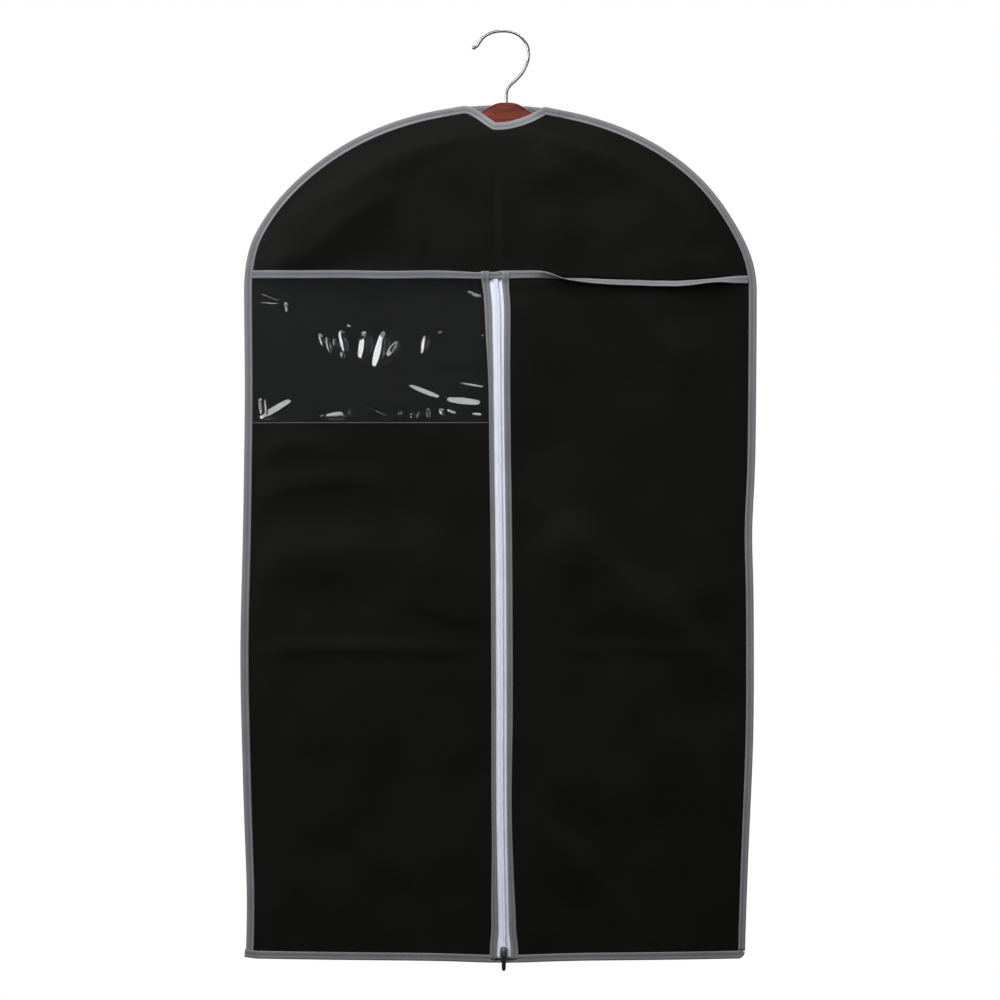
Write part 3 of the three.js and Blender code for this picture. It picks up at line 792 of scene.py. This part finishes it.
STEEL = steel()
WOOD = cherry_wood()

# ---- how pieces belong


def belong(obj, body, slot, *nodes):
    """Ties a piece to its body, or bakes a front leaf's transform, and puts it in the place of CAD
    nodes. slot is not used.
    """
    if body in ("left_front", "right_front"):
        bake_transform(obj)
    else:
        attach(obj, body)
    if nodes:
        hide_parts(*nodes)
    return obj


# ---- the neck opening

NECK_POINT = (-4.0, -105.9)  # the lowest point of the opening
# Each arm of the opening, where no height means that it lies on the shoulders' outline.
NECK_LEFT = [
    (-62, None), (-50, None), (-41, None), (-33, -87.6), (-26, -91.0), (-19, -95.4), (-11, -101.2),
    NECK_POINT,
]
NECK_RIGHT = [
    NECK_POINT, (4.5, -105.6), (13, -104.2), (23, -101.4), (32, -98.0), (40, -94.2), (47, -90.4),
    (53, -87.4), (62, None), (76, None),
]


def dome(x, shrink=0.0):
    """Height of the shoulders' outline at x."""
    reach = np.clip(np.abs(x) / (HALF - shrink), 0, 1)
    return BASE + (RISE - shrink) * np.sqrt(1 - reach**2)


left_arm, right_arm = (
    spline([(x, float(dome(x)) if z is None else z) for x, z in arm], 0.8) for arm in (NECK_LEFT, NECK_RIGHT)
)
neck_line = np.vstack([left_arm[:-1], right_arm])
neck_line = neck_line[np.abs(neck_line[:, 0] - NECK_X) < NECK_REACH + 2]


def yoke_top(x):
    """The upper edge of the front yoke's cloth, just inside its tapes."""
    over_neck = np.interp(x, neck_line[:, 0], neck_line[:, 1], left=0, right=0) - 1.2
    return np.where(np.abs(x - NECK_X) < NECK_REACH - 1, np.minimum(dome(x, 3), over_neck), dome(x, 3))


# ---- cloth

CLOTH_HALF = HALF - 3


def panel_grid(reach, columns, rows, low, high):
    """Points between two edges that are functions of x, closer together towards the sides."""
    widest = math.asin(reach / CLOTH_HALF)
    x = CLOTH_HALF * np.sin(np.linspace(-widest, widest, columns))
    z = low(x) + (high(x) - low(x)) * np.linspace(0, 1, rows)[:, None]
    return np.broadcast_to(x, z.shape), z


x, z = panel_grid(CLOTH_HALF - 0.05, 170, 250, lambda x: BOTTOM + 2, lambda x: dome(x, 3))
inner = back_depth(x, z)
points, faces = slab(np.stack([x, inner + CLOTH, z], -1), np.stack([x, inner, z], -1))
back = belong(build("back_cloth", points, faces, CLOTH_FINISH), "cover", "black_cloth", "back_panel")

x, z = panel_grid(CLOTH_HALF - 1.5, 230, 64, lambda x: seam_line(x) + 0.5, yoke_top)
points, faces = front_sheet(x, z, CLOTH)
yoke = belong(build("yoke_cloth", points, faces, CLOTH_FINISH), "cover", "black_cloth", "front_yoke")


def leaf_grid(side, z0, z1, columns, rows, edge=CLOTH_HALF):
    """Points of a front piece between the side tape and the zip's binding."""
    z = np.linspace(z0, z1, rows)[:, None]
    at_zip = zip_x(z) + side * (zip_half_gap(z) + FOLD)
    outside = side * np.minimum(edge, HALF * np.sqrt(1 - (np.maximum(z - BASE, 0) / RISE) ** 2) - 3)
    t = np.linspace(0, 1, columns)
    t = t if side > 0 else 1 - t
    return at_zip + (outside - at_zip) * t, np.broadcast_to(z, (rows, columns))


def tuck(z, x=0):
    """The top edge of the front goes in behind the yoke."""
    return -0.8 * smooth(-1.5, 2, z - seam_line(x))


x, z = leaf_grid(-1, BOTTOM + 2, WINDOW_BOTTOM, 84, 170)
points, faces = front_sheet(x, z, CLOTH)
left = belong(build("left_cloth", points, faces, CLOTH_FINISH), "left_front", "black_cloth", "left_panel")
x, z = leaf_grid(1, BOTTOM + 2, SEAM + 5, 84, 215)
points, faces = front_sheet(x, z, CLOTH, tuck(z, x))
right = belong(build("right_cloth", points, faces, CLOTH_FINISH), "right_front", "black_cloth", "right_panel")

# ---- the window

STRIP = 0.46  # slope of a face that shows the tall light on the left
KEY = 0.30  # and of one that shows the wide light above
FILM_CREASES = {
    # slope of the face: from x, z to x, z and the width of each crease
    0.275: [(-52, -409, -17, -415, 3.8)],
    0.29: [(-68, -428, -17, -434, 9.0)],
    KEY: [
        (-285, -304, -252, -316, 2.4), (-287, -315, -254, -318, 3.0), (-40, -302, -21, -311, 3.2),
        (-38, -310, -20, -308, 2.4), (-76, -352, -66, -350, 2.4), (-24, -354, -18, -362, 2.6),
        (-286, -453, -243, -428, 8.0), (-208, -449, -180, -445, 8.0), (-215, -453, -206, -446, 2.6),
        (-149, -441, -126, -452, 3.4), (-169, -453, -156, -449, 2.8), (-110, -411, -66, -429, 6.0),
        (-64, -441, -49, -446, 4.0), (-44, -442, -19, -448, 4.6), (-180, -342, -173, -345, 2.6),
    ],
    0.42: [(-213, -352, -207, -370, 3.0), (-205, -355, -199, -379, 3.2)],
    0.43: [(-189, -348, -182, -379, 5.2)],
    0.44: [(-197, -358, -190, -374, 2.8), (-120, -360, -139, -388, 6.0)],
    STRIP: [
        (-252, -315, -249, -329, 2.6), (-160, -348, -165, -386, 8.6), (-138, -348, -149, -396, 9.4),
        (-89, -354, -92, -378, 4.6), (-283, -426, -280, -448, 3.2), (-276, -428, -275, -448, 2.8),
        (-178, -440, -176, -452, 2.6), (-119, -438, -118, -454, 2.4), (-105, -440, -104, -453, 2.2),
        (-98, -440, -97, -453, 2.2), (-86, -439, -85, -454, 2.8), (-72, -440, -66, -454, 3.4),
        (-58, -449, -52, -455, 2.6), (-33, -450, -29, -456, 2.6), (-187, -374, -184, -383, 3.0),
    ],
}


def film_relief(x, z):
    """Creases in the vinyl: small ridges, each with one tilted face that catches a light."""
    total = ripple(x, z, FILM_WAVES)
    creases = [(slope, *crease) for slope, group in FILM_CREASES.items() for crease in group]
    for slope, x0, z0, x1, z1, width in creases:
        run = np.array([x1 - x0, z1 - z0])
        length = np.hypot(*run)
        run = run / length
        t = np.clip(((x - x0) * run[0] + (z - z0) * run[1]) / length, 0, 1)
        # the face rises to the right in an upright crease, downwards in a level one
        rise = np.array([-run[1], run[0]])
        if abs(run[1]) > abs(run[0]):
            rise = rise * (1 if rise[0] > 0 else -1)
        else:
            rise = rise * (1 if rise[1] < 0 else -1)
        wide = width * (0.25 + 0.75 * np.sin(np.pi * t) ** 0.7)
        d = ((x - (x0 + x1) / 2) * rise[0] + (z - (z0 + z1) / 2) * rise[1]) / wide
        face = np.clip(d + 0.5, 0, 1) * (1 - smooth(0.5, 1.7, d))
        tilt = slope / max(abs(rise[0]), abs(rise[1]))
        total = total + tilt * wide * face * smooth(0, 0.18, t) * (1 - smooth(0.82, 1, t))
    return total


def film_depth(x, z):
    near = np.minimum(x - (-HALF + TAPE_WIDTH), zip_x(z) - zip_half_gap(z) - 6 - x)
    near = np.minimum(near, np.minimum(seam_line(x) - z, z - WINDOW_BOTTOM))
    return front_depth(x, z) - FILM - 0.08 + film_relief(x, z) * smooth(-0.5, 4, near)


x, z = leaf_grid(-1, WINDOW_BOTTOM - 5, SEAM + 5, 286, 172)
points, faces = front_sheet(x, z, FILM, tuck(z, x), film_depth)
window = belong(build("window_film", points, faces, FILM_FINISH), "left_front", "clear_film", "window")

# ---- binding tapes


def normals(line, turn=1):
    """Unit normals of a line, to its right where turn is 1."""
    ahead = unit(np.gradient(line, axis=0))
    return turn * np.stack([ahead[:, 1], -ahead[:, 0]], 1)


def evened(values, reach):
    """A running mean over reach values to each side."""
    return np.convolve(np.pad(values, reach, "edge"), np.ones(2 * reach + 1) / (2 * reach + 1), "valid")


def both(lines):
    """A tape's two stitch lines, each with the side that it faces."""
    return [(lines[0], -1), (lines[1], 1)]


def tape(name, mesh, sewn_by, rows, body, node, finish=TAPE_FINISH):
    """A tape, and as a piece of their own the stitches that hold it."""
    points, faces, marks = mesh
    piece = belong(build(name, points, faces, finish, marks=marks), body, "grey_tape", node)
    belong(stitches(sewn_by, rows, GREY_THREAD), body, "grey_tape")
    return piece


def whole_front(x, z):
    return -(front_depth(x, z) + CLOTH)


def whole_back(x, z):
    return back_depth(x, z) + CLOTH


def outline():
    angle = np.linspace(math.pi, 0, 400)
    arch = np.stack([HALF * np.cos(angle), BASE + RISE * np.sin(angle)], 1)
    line = np.vstack([[(-HALF, BOTTOM + 2.2)], arch, [(HALF, BOTTOM + TAPE_WIDTH)]])
    return resample(line, 3.4)


edge_line = outline()
edge_in = normals(edge_line)
at_neck = (np.abs(edge_line[:, 0] - NECK_X) < NECK_REACH) & (edge_line[:, 1] > BASE)
first, last = np.flatnonzero(at_neck)[[0, -1]]
parts, sewn = [], []
for cut, front, back_face in (
    (slice(0, first + 1), whole_front, whole_back),
    (slice(first, last + 1), back_depth, whole_back),
    (slice(last, None), whole_front, whole_back),
):
    p, f, m, lines = folded_tape(edge_line[cut], edge_in[cut], TAPE_WIDTH, front, back_face)
    parts.append((p, f, m))
    sewn += both(lines)
edge = tape("edge_tape", merged(parts), "edge_stitches", sewn, "cover", "edge_binding")

neck_in = normals(neck_line)
neck_in = unit(np.stack([evened(neck_in[:, k], 2) for k in (0, 1)], 1))
p, f, m, lines = folded_tape(
    neck_line, neck_in, TAPE_WIDTH, lambda x, z: whole_front(x, z) - 0.1, lambda x, z: -front_depth(x, z)
)
neck = tape("neck_tape", (p, f, m), "neck_stitches", both(lines), "cover", "neck_binding", NECK_FINISH)

CORNER = 9
turn = np.radians(np.linspace(-90, -8, 14))
corner = np.stack([HALF - CORNER + CORNER * np.cos(turn), BOTTOM + CORNER + CORNER * np.sin(turn)], 1)
hem_line = resample(np.vstack([[(-HALF - 1.2, BOTTOM)], corner]), 2.6)
hem_line[:, 1] -= 2.2 * bump(hem_line[:, 0], zip_x(BOTTOM), 58)  # it sags under the zip


def over_sides(x):
    return (TAPE + 0.15) * smooth(HALF - TAPE_WIDTH - 5, HALF - TAPE_WIDTH + 1, np.abs(x))


at_zip = np.abs(hem_line[:, 0] - zip_x(BOTTOM)) < zip_half_gap(BOTTOM) + 4


def behind_zip(x):
    return 1 - smooth(10, 14, np.abs(x - zip_x(BOTTOM)))


p, f, m, lines = folded_tape(
    hem_line,
    normals(hem_line, -1),
    TAPE_WIDTH,
    lambda x, z: whole_front(x, z) - over_sides(x) + 0.8 * behind_zip(x),
    lambda x, z: whole_back(x, z) + over_sides(x),
    front_width=np.where(at_zip, FOLD + 2, TAPE_WIDTH),
)
hem_ends = np.flatnonzero(at_zip)[[0, -1]]
rows = [(lines[0][: hem_ends[0] - 1], -1), (lines[0][hem_ends[1] + 2 :], -1), (lines[1], 1)]
hem = tape("hem_tape", (p, f, m), "hem_stitches", rows, "cover", "hem_binding")

# ---- the yoke's seam tape

SEAM_THICK = 1.3
seam_end = HALF - TAPE_WIDTH - 0.2
seam_x = np.linspace(-seam_end, seam_end, 300)
# The tape lies up against the yoke on the left, twists over at the right and lies half down.
lean = np.radians(
    np.interp(
        seam_x,
        [-300, 36, 52, 72, 100, 140, 215, 246, 262, 280, 300],
        [4, 4, 30, 92, 124, 134, 134, 118, 128, 168, 172],
    )
)
lean = evened(lean, 4)
root_z = seam_line(seam_x)
root_y = -(front_depth(seam_x, root_z) + CLOTH + 0.1)
along = np.stack([-np.sin(lean), np.cos(lean)], 1)  # y, z of the tape's width
out = np.stack([-np.cos(lean), -np.sin(lean)], 1)  # y, z of its front face's normal
u = np.linspace(0, 1, LEG)
hems = 0.35 * smooth(0.92, 1, u) + 0.2 * (1 - smooth(0, 0.08, u))
crown = SEAM_THICK * (1 - 0.2 * bump(u, 0.5, 0.13) - hems)
sag = 0.9 * ripple(seam_x, 0, TAPE_WAVES)
seam_width = np.interp(seam_x, [-300, -70, -28, -4, 2, 30, 300], [9.4, 9.2, 7.9, 8.2, 9.4, 9.0, 9.2])
section_s = np.concatenate([u, u[::-1]]) * seam_width[:, None]
section_t = np.concatenate([crown, 0.5 * (1 - crown[::-1] / SEAM_THICK)])
# marks for the painted shade along the groove, on both faces
section_m = np.concatenate([bump(u, 0.5, GROOVE)] * 2)
ring_y = root_y[:, None] + section_s * along[:, :1] + section_t * out[:, :1]
ring_z = root_z[:, None] + sag[:, None] + section_s * along[:, 1:] + section_t * out[:, 1:]
points = np.stack([np.broadcast_to(seam_x[:, None], ring_y.shape), ring_y, ring_z], -1)
mesh = (points, capped(*section_s.shape), np.tile(section_m, len(seam_x)))
rows = [(points[seam_x < 30, LEG // 2], -1)]  # where the tape lies flat
seam_tape = tape("yoke_seam_tape", mesh, "seam_stitches", rows, "cover", "yoke_seam_binding")

# ---- the zip

COIL_PITCH = 1.25
COIL_THREAD = 0.44  # radius of the moulded thread
COIL_STEPS = 10  # points in each turn
STRINGER = 0.55  # thickness of the woven tape
STRINGER_WIDTH = 14.6
STRINGER_EDGE = 0.35  # from the zip's middle to the woven tape
SEAM_LIFT = 1.95  # the bindings stand this far off the cloth where they cross the seam tape
BINDING_TOP = SEAM + 8.4
BINDING_BOTTOM = corners("zip_binding_left")[0][2]  # the zip runs down over the hem's tape


def over_seam(z):
    """The zip's bindings ride up over the yoke's seam tape."""
    return smooth(SEAM - 4, SEAM + 0.5, z)


def binding_width(side, z):
    if side < 0:
        widened = 3.2 * smooth(-430, -310, z) + 1.3 * smooth(-305, -285, z)
        return 5.2 + widened + 2.6 * smooth(-930, -1050, z)
    return 7.6 + 1.2 * smooth(-305, -285, z) - 1.7 * bump(z, -905, 70) + 1.2 * smooth(-980, -1050, z)


for side, tag in ((-1, "left"), (1, "right")):
    body = f"{tag}_front"
    z = np.linspace(BINDING_TOP, BINDING_BOTTOM, 260)
    line = np.stack([zip_x(z) + side * zip_half_gap(z), z], 1)
    inward = np.broadcast_to([float(side), 0.0], line.shape)
    p, f, m, lines = folded_tape(
        line,
        inward,
        binding_width(side, z),
        lambda x, z: -(front_depth(x, z) + CLOTH + SEAM_LIFT * over_seam(z)),
        lambda x, z: -(front_depth(x, z) + (CLOTH + SEAM_LIFT) * over_seam(z)),
        fold=0.9,
    )
    rows = [(lines[0], -1)]
    tape(f"zip_edge_tape_{tag}", (p, f, m), f"zip_stitches_{tag}", rows, body, f"zip_binding_{tag}")

    # the woven tape, behind the folded edges, parted under the slider
    z = np.linspace(BINDING_BOTTOM + 1.2, SEAM + 3, 240)[:, None]
    parted = 1.6 * smooth(slider_low[2] + 5.5, slider_low[2] + 1, z)
    u = np.linspace(0, 1, 14)
    broad = np.minimum(STRINGER_WIDTH, zip_half_gap(z) + binding_width(side, z) - 0.8)
    x = zip_x(z) + side * (STRINGER_EDGE + parted + (broad - STRINGER_EDGE) * u)
    z = np.broadcast_to(z, x.shape)
    lift = -1.0 + 0.12 * bump(u, 0.18, 0.1) + 0 * x
    if side < 0:
        x, z, lift = x[:, ::-1], z[:, ::-1], lift[:, ::-1]
    points, faces = front_sheet(x, z, STRINGER, lift)
    belong(build(f"zip_stringer_{tag}", points, faces, ZIP_FINISH), body, "white_tape", f"zip_tape_{tag}")

    # the coil
    z_low, z_high = slider_low[2] + 4.8, SEAM - 0.5
    loops = (z_high - z_low) / COIL_PITCH
    turn = np.arange(0, loops * 2 * math.pi, 2 * math.pi / COIL_STEPS)
    z = z_low + COIL_PITCH * turn / (2 * math.pi) + (COIL_PITCH / 2 if side > 0 else 0)
    z = np.minimum(z, z_high)
    middle = zip_x(z) + side * 1.35
    depth = front_depth(zip_x(z), z) + 0.62
    helix = np.stack([middle + side * 1.2 * np.cos(turn), -(depth + 0.62 * np.sin(turn)), z], 1)
    radial = np.stack([side * np.cos(turn), -np.sin(turn), 0 * turn], 1)
    points, faces, _ = tube(helix, COIL_THREAD, 5, side=radial)
    belong(build(f"zip_teeth_{tag}", points, faces, COIL_FINISH), body, "white_coil", f"zip_coil_{tag}")

# the window's lower seam: real stitches, whose pale colour also paints the highlight along the seam
x_end = float(zip_x(WINDOW_BOTTOM) - zip_half_gap(WINDOW_BOTTOM)) - 6.5
x = np.linspace(-HALF + TAPE_WIDTH + 1, x_end, 120)
z = np.full_like(x, WINDOW_BOTTOM - 2.2)
row = np.stack([x, -(front_depth(x, z) + CLOTH), z], 1)
belong(stitches("window_stitches", [(row, -1)], PALE_THREAD), "left_front", "grey_tape")

# ---- slider and pull

FACE_Y = PIVOT[1] + 4.35  # the front's inner face at the slider
CAVITY_FRONT = FACE_Y - 2.2
PLATE_FRONT = FACE_Y - 3.3
CAVITY_BACK = FACE_Y + 1.5
PLATE_BACK = FACE_Y + 2.6
z0, z1 = slider_low[2], slider_high[2]
shield = mirrored(
    [
        (0, z1), (2.6, z1), (3.5, z1 - 0.5), (3.9, z1 - 1.6), (4.15, z1 - 4), (4.6, z0 + 4.5),
        (4.6, z0 + 1.6), (4.1, z0 + 0.4), (3.0, z0), (1.4, z0 + 0.1), (0, z0 + 0.7),
    ]
)
wedge = mirrored([(0, z0 + 4.4), (1.2, z0 + 2.4), (0.8, z0 + 0.5), (0, z0 + 0.2)])
rail = [(4.6, z0 + 0.6), (4.6, z0 + 5), (4.2, z1 - 2.4), (3.3, z1 - 2.4), (3.5, z0 + 5), (3.5, z0 + 0.6)]
parts = [
    plate(shield, PLATE_FRONT, CAVITY_FRONT, 0.35),
    plate(shield, CAVITY_BACK, PLATE_BACK, 0.35),
    plate(wedge, CAVITY_FRONT - 0.4, CAVITY_BACK + 0.4, 0.1),
]
for side in (-1, 1):
    parts.append(plate([(side * a, b) for a, b in rail], CAVITY_FRONT - 0.5, FACE_Y - 0.02, 0.3))
arch_top = slider_low[1]
arch = spline(
    [
        (0, PLATE_FRONT + 0.5, z0 + 1.7), (0, PLATE_FRONT - 1.2, z0 + 1.75),
        (0, arch_top + 0.9, z0 + 2.6), (0, arch_top + 0.55, z0 + 4.4), (0, arch_top + 0.55, z1 - 3.6),
        (0, arch_top + 0.9, z1 - 2.4), (0, PLATE_FRONT - 1.2, z1 - 1.75),
        (0, PLATE_FRONT + 0.5, z1 - 1.7),
    ],
    0.35,
)
ahead = unit(np.gradient(arch, axis=0))
side_way = np.broadcast_to([1.0, 0, 0], arch.shape)
out_way = np.cross(ahead, side_way)
section = np.array(rounded(-1.1, 1.1, -0.5, 0.5, 0.3, 3))
points = arch[:, None] + section[:, :1] * side_way[:, None] + section[:, 1:] * out_way[:, None]
parts.append((points, capped(len(arch), len(section)), None))
points, faces, _ = merged(parts)
points[:, 0] += SLIDER_X
slider = build("slider_shell", points, faces, SLIDER_FINISH, sewn=False, weld=0.02)
slider.data.set_sharp_from_angle(angle=math.radians(50))
belong(slider, "slider", "slider_metal", "slider_body")

pull_low, pull_high = corners("pull_tab")
top, tip = pull_high[2], pull_low[2]
half = (pull_high[0] - pull_low[0]) / 2
tab = mirrored(
    [
        (0, top), (1.7, top - 0.05), (half - 0.35, top - 0.7), (half, top - 1.9),
        (half - 0.05, top - 8), (half - 0.3, top - 14), (half - 0.45, tip + 3.4),
        (half - 0.95, tip + 1.3), (1.0, tip + 0.25), (0, tip),
    ]
)
tab = spline(tab + tab[:1], 0.45)[:-1]
eye = rounded(-1.55, 1.55, top - 6.75, top - 1.35, 0.9)
y_mid = (pull_low[1] + pull_high[1]) / 2
y_half = (pull_high[1] - pull_low[1]) / 2
boss = mirrored([(0, top - 9.2), (1.2, top - 10.4), (1.45, top - 14), (1.15, tip + 3.6), (0, tip + 2.2)])
boss = spline(boss[3:] + boss[:4], 0.5)[:-1]  # from its top point round to the same
parts = [
    plate(tab, y_mid - y_half * 0.8, y_mid + y_half * 0.8, 0.3, eye),
    plate(boss, y_mid - y_half, y_mid + y_half, 0.2),
]
points, faces, _ = merged(parts)
points[:, 0] += SLIDER_X
pull = build("slider_pull", points, faces, PULL_FINISH, sewn=False, weld=0.02)
pull.data.set_sharp_from_angle(angle=math.radians(50))
belong(pull, "pull", "pull_metal", "pull_tab")

# ---- hanger, washer and hook

wood_low, wood_high = corners("hanger_body")
REACH = (wood_high[0] - wood_low[0]) / 2
THICK = (wood_high[1] - wood_low[1]) / 2
ARM_SIDES = 44
ARM_TIP = 13  # an arm's end is rounded over this length
apex = [(-9, -82.1), (0, -81.4), (9, -82.1), (15, -84.1), (19, -86.3), (27, -91.4), (38, -97)]
upper = spline(apex + [(70, -108.5), (100, -118.5), (160, -145.5), (198, -172.5), (REACH, -184)], 1.0)
keel = [(-16, -133), (0, -133.2), (16, -132.6), (45, -137)]
under = spline(keel + [(100, -149.5), (160, -173.5), (196, -192), (REACH, -192)], 1.0)
stations = REACH * np.sin(np.linspace(-math.pi / 2, math.pi / 2, 190))
reach = np.abs(stations)
high = np.interp(reach, upper[:, 0], upper[:, 1])
down = np.interp(reach, under[:, 0], under[:, 1])
close = np.sqrt(1 - (np.clip(reach - REACH + ARM_TIP, 0, ARM_TIP) / (ARM_TIP + 0.02)) ** 2)
middle = (high + down) / 2
tall = (high - down) / 2 * (0.12 + 0.88 * close)
thick = THICK * (0.10 + 0.90 * close) * (1 - 0.12 * smooth(60, 200, reach))
turn = circle(ARM_SIDES)


def rounded_power(v, power):
    return np.sign(v) * np.abs(v) ** power


ring_y = thick[:, None] * rounded_power(np.cos(turn), 0.62)
ring_z = middle[:, None] + tall[:, None] * rounded_power(np.sin(turn), 0.72)
points = np.stack([np.broadcast_to(stations[:, None] + HOOK_X, ring_y.shape), ring_y, ring_z], -1)
wood = build("hanger_wood", points, capped(len(stations), ARM_SIDES), WOOD, sewn=False)

washer_low, washer_high = corners("swivel_washer")
BORE = 2.35  # for the hook
RECESS = 5.0  # for its head and the washer
RECESS_TOP = washer_high[2] + 0.3
HOLE_BOTTOM, HOLE_TOP = -150, -70  # clear of the wood at both ends


def drill(radius, z_from, z_to):
    """Cuts a round upright hole into the hanger."""
    points, faces, _ = tube([(HOOK_X, 0, z_from), (HOOK_X, 0, z_to)], radius, 36)
    cutter = build("cutter", points, faces, WOOD, sewn=False)
    cut = wood.modifiers.new("bore", "BOOLEAN")
    cut.operation = "DIFFERENCE"
    cut.solver = "EXACT"
    cut.object = cutter
    bpy.context.view_layer.update()
    mesh = bpy.data.meshes.new_from_object(wood.evaluated_get(bpy.context.evaluated_depsgraph_get()))
    wood.modifiers.clear()
    old = wood.data
    wood.data = mesh
    bpy.data.meshes.remove(old)
    bpy.data.objects.remove(cutter)


drill(BORE, HOLE_BOTTOM, HOLE_TOP)
drill(RECESS, HOLE_BOTTOM, RECESS_TOP)
wood.data.name = "hanger_wood"
wood.data.set_sharp_from_angle(angle=math.radians(55))
belong(wood, "cover", "cherry_wood", "hanger_body")

rim = (washer_high[0] - washer_low[0]) / 2
w0, w1 = washer_low[2], washer_high[2]
lower = [(BORE, w0 + 0.15), (BORE + 0.15, w0), (rim - 0.25, w0), (rim, w0 + 0.25)]
profile = lower + [(r, w0 + w1 - h) for r, h in lower[::-1]]
WASHER_SIDES = 40
points = [[(HOOK_X + r * math.cos(a), r * math.sin(a), h) for r, h in profile] for a in circle(WASHER_SIDES)]
# one row more than there are, so that the last joins the first
faces = grid_faces(WASHER_SIDES + 1, len(profile), ring=True) % (WASHER_SIDES * len(profile))
washer = build("hook_washer", points, faces, STEEL, sewn=False)
washer.data.set_sharp_from_angle(angle=math.radians(35))
belong(washer, "hook", "steel", "swivel_washer")

WIRE = 1.75  # radius
BALL = 2.5
# the upset head, from its end upwards
HEAD_RUN = [0, 0.12, 0.4, 0.9, 1.5, 1.85, 2.0, 2.12]
HEAD_RADIUS = [3.2, 3.7, 4.1, 4.35, 4.4, 4.2, 3.6, WIRE]
hook_bottom = corners("hook")[0][2]
wire = spline(
    [
        (-36.3, -17.7), (-32.6, -17.0), (-29.8, -15.2), (-27.2, -10.9), (-21.6, -4.5), (-12.0, 0.35),
        (0.0, 1.9), (11.0, 0.5), (20.4, -4.4), (27.4, -13.0), (30.1, -23.5), (28.5, -34.8),
        (23.0, -46.4), (15.4, -55.2), (8.4, -61.6), (4.7, -68.4), (HOOK_X, -76.5), (HOOK_X, -86),
        (HOOK_X, -105), (HOOK_X, hook_bottom),
    ],
    0.7,
)
length = travelled(wire)[-1]
ball_run = [0.25, 0.5, 0.9, 1.4, 2.0, 2.6, 3.3, 4.0, 4.6]
run = np.unique(np.concatenate([travelled(wire), ball_run, length - np.array(HEAD_RUN + [2.3])]))
wire = points_at(wire, run)
wire = np.stack([wire[:, 0], 0 * run, wire[:, 1]], 1)
from_end = length - run
ball = np.sqrt(np.clip(BALL**2 - (run - BALL) ** 2, 0, None))
radius = np.where(from_end < 2.13, np.interp(from_end, HEAD_RUN, HEAD_RADIUS), np.maximum(ball, WIRE))
points, faces, _ = tube(wire, radius, 22)
hook = build("hook_wire", points, faces, CHROME, sewn=False)
hook.data.set_sharp_from_angle(angle=math.radians(60))
belong(hook, "hook", "chrome", "hook")

# ---- studio

FLOOR_Z = -1250
FLOOR_RADIUS = 960
FLOOR_SIDES = 96
disc = [(FLOOR_RADIUS * math.cos(a), FLOOR_RADIUS * math.sin(a), 0) for a in circle(FLOOR_SIDES)]
floor = build("floor", disc, [list(range(FLOOR_SIDES))], floor_finish(), sewn=False)
floor.location.z = FLOOR_Z / 1000
floor.visible_diffuse = False
floor.visible_glossy = False
floor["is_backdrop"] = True

middle_x = (cad_low.x + cad_high.x) / 2
middle_z = (cad_low.z + cad_high.z) / 2
FRAME_WIDTH = 1.1673  # that the camera sees, at the bag's front
FRONT_Y = -0.01
ASIDE = 0.0005  # the camera stands this far left of the object's middle
DISTANCE = 5.0
SENSOR = 36
camera = bpy.data.objects.new("camera", bpy.data.cameras.new("camera"))
camera.data.sensor_width = SENSOR
camera.data.lens = SENSOR * DISTANCE / FRAME_WIDTH
camera.location = (middle_x - ASIDE, FRONT_Y - DISTANCE, middle_z)
camera.rotation_euler = (math.pi / 2, 0, 0)
scene.collection.objects.link(camera)
scene.camera = camera


def softbox(name, place, aim, width, height, power, mirrored_in=True):
    lamp = bpy.data.lights.new(name, "AREA")
    lamp.shape = "RECTANGLE"
    lamp.size, lamp.size_y = width, height
    lamp.energy = power
    obj = bpy.data.objects.new(name, lamp)
    obj.location = place
    obj.rotation_euler = (Vector(aim) - Vector(place)).to_track_quat("-Z", "Y").to_euler()
    obj.visible_glossy = mirrored_in
    scene.collection.objects.link(obj)


softbox("key", (-0.3, -1.05, 1.55), (0, 0, -0.3), 2.0, 0.8, 102, mirrored_in=False)
softbox("upper_glint", (-0.6, -2.3, 1.15), (0, 0, -0.45), 3.2, 0.7, 42)
softbox("left_strip", (-2.7, -2.0, -0.05), (0, 0, -0.45), 0.8, 2.2, 62)
softbox("right_strip", (2.2, -2.5, -0.1), (0, 0, -0.5), 0.25, 1.6, 7)
softbox("back_key", (0.8, 2.3, 1.2), (0, 0, -0.45), 1.8, 0.9, 80)

# The camera sees a white world. The object is lit by one that is dark in front and paler behind.
world = bpy.data.worlds.new("studio")
scene.world = world
world.use_nodes = True
world.node_tree.nodes.clear()
room = Nodes(world.node_tree)
behind = room.add("SeparateXYZ", Vector=room.add("TexCoord").outputs["Generated"]).outputs["Y"]
share = room.math("ADD", room.math("MULTIPLY", behind, 0.5), 0.5)
lit = room.add("Background", Color=room.ramp(share, (0.0, 0.055), (1.0, (0.42, 0.425, 0.43))))
seen = room.add("Background", Color=(1, 1, 1, 1))
choose = room.add("MixShader")
camera_ray = room.add("LightPath").outputs["Is Camera Ray"]
for index, value in enumerate((camera_ray, lit.outputs[0], seen.outputs[0])):
    room.plug(value, choose.inputs[index])
room.add("OutputWorld", Surface=choose.outputs[0])
scene.view_settings.view_transform = "Standard"

low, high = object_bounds()
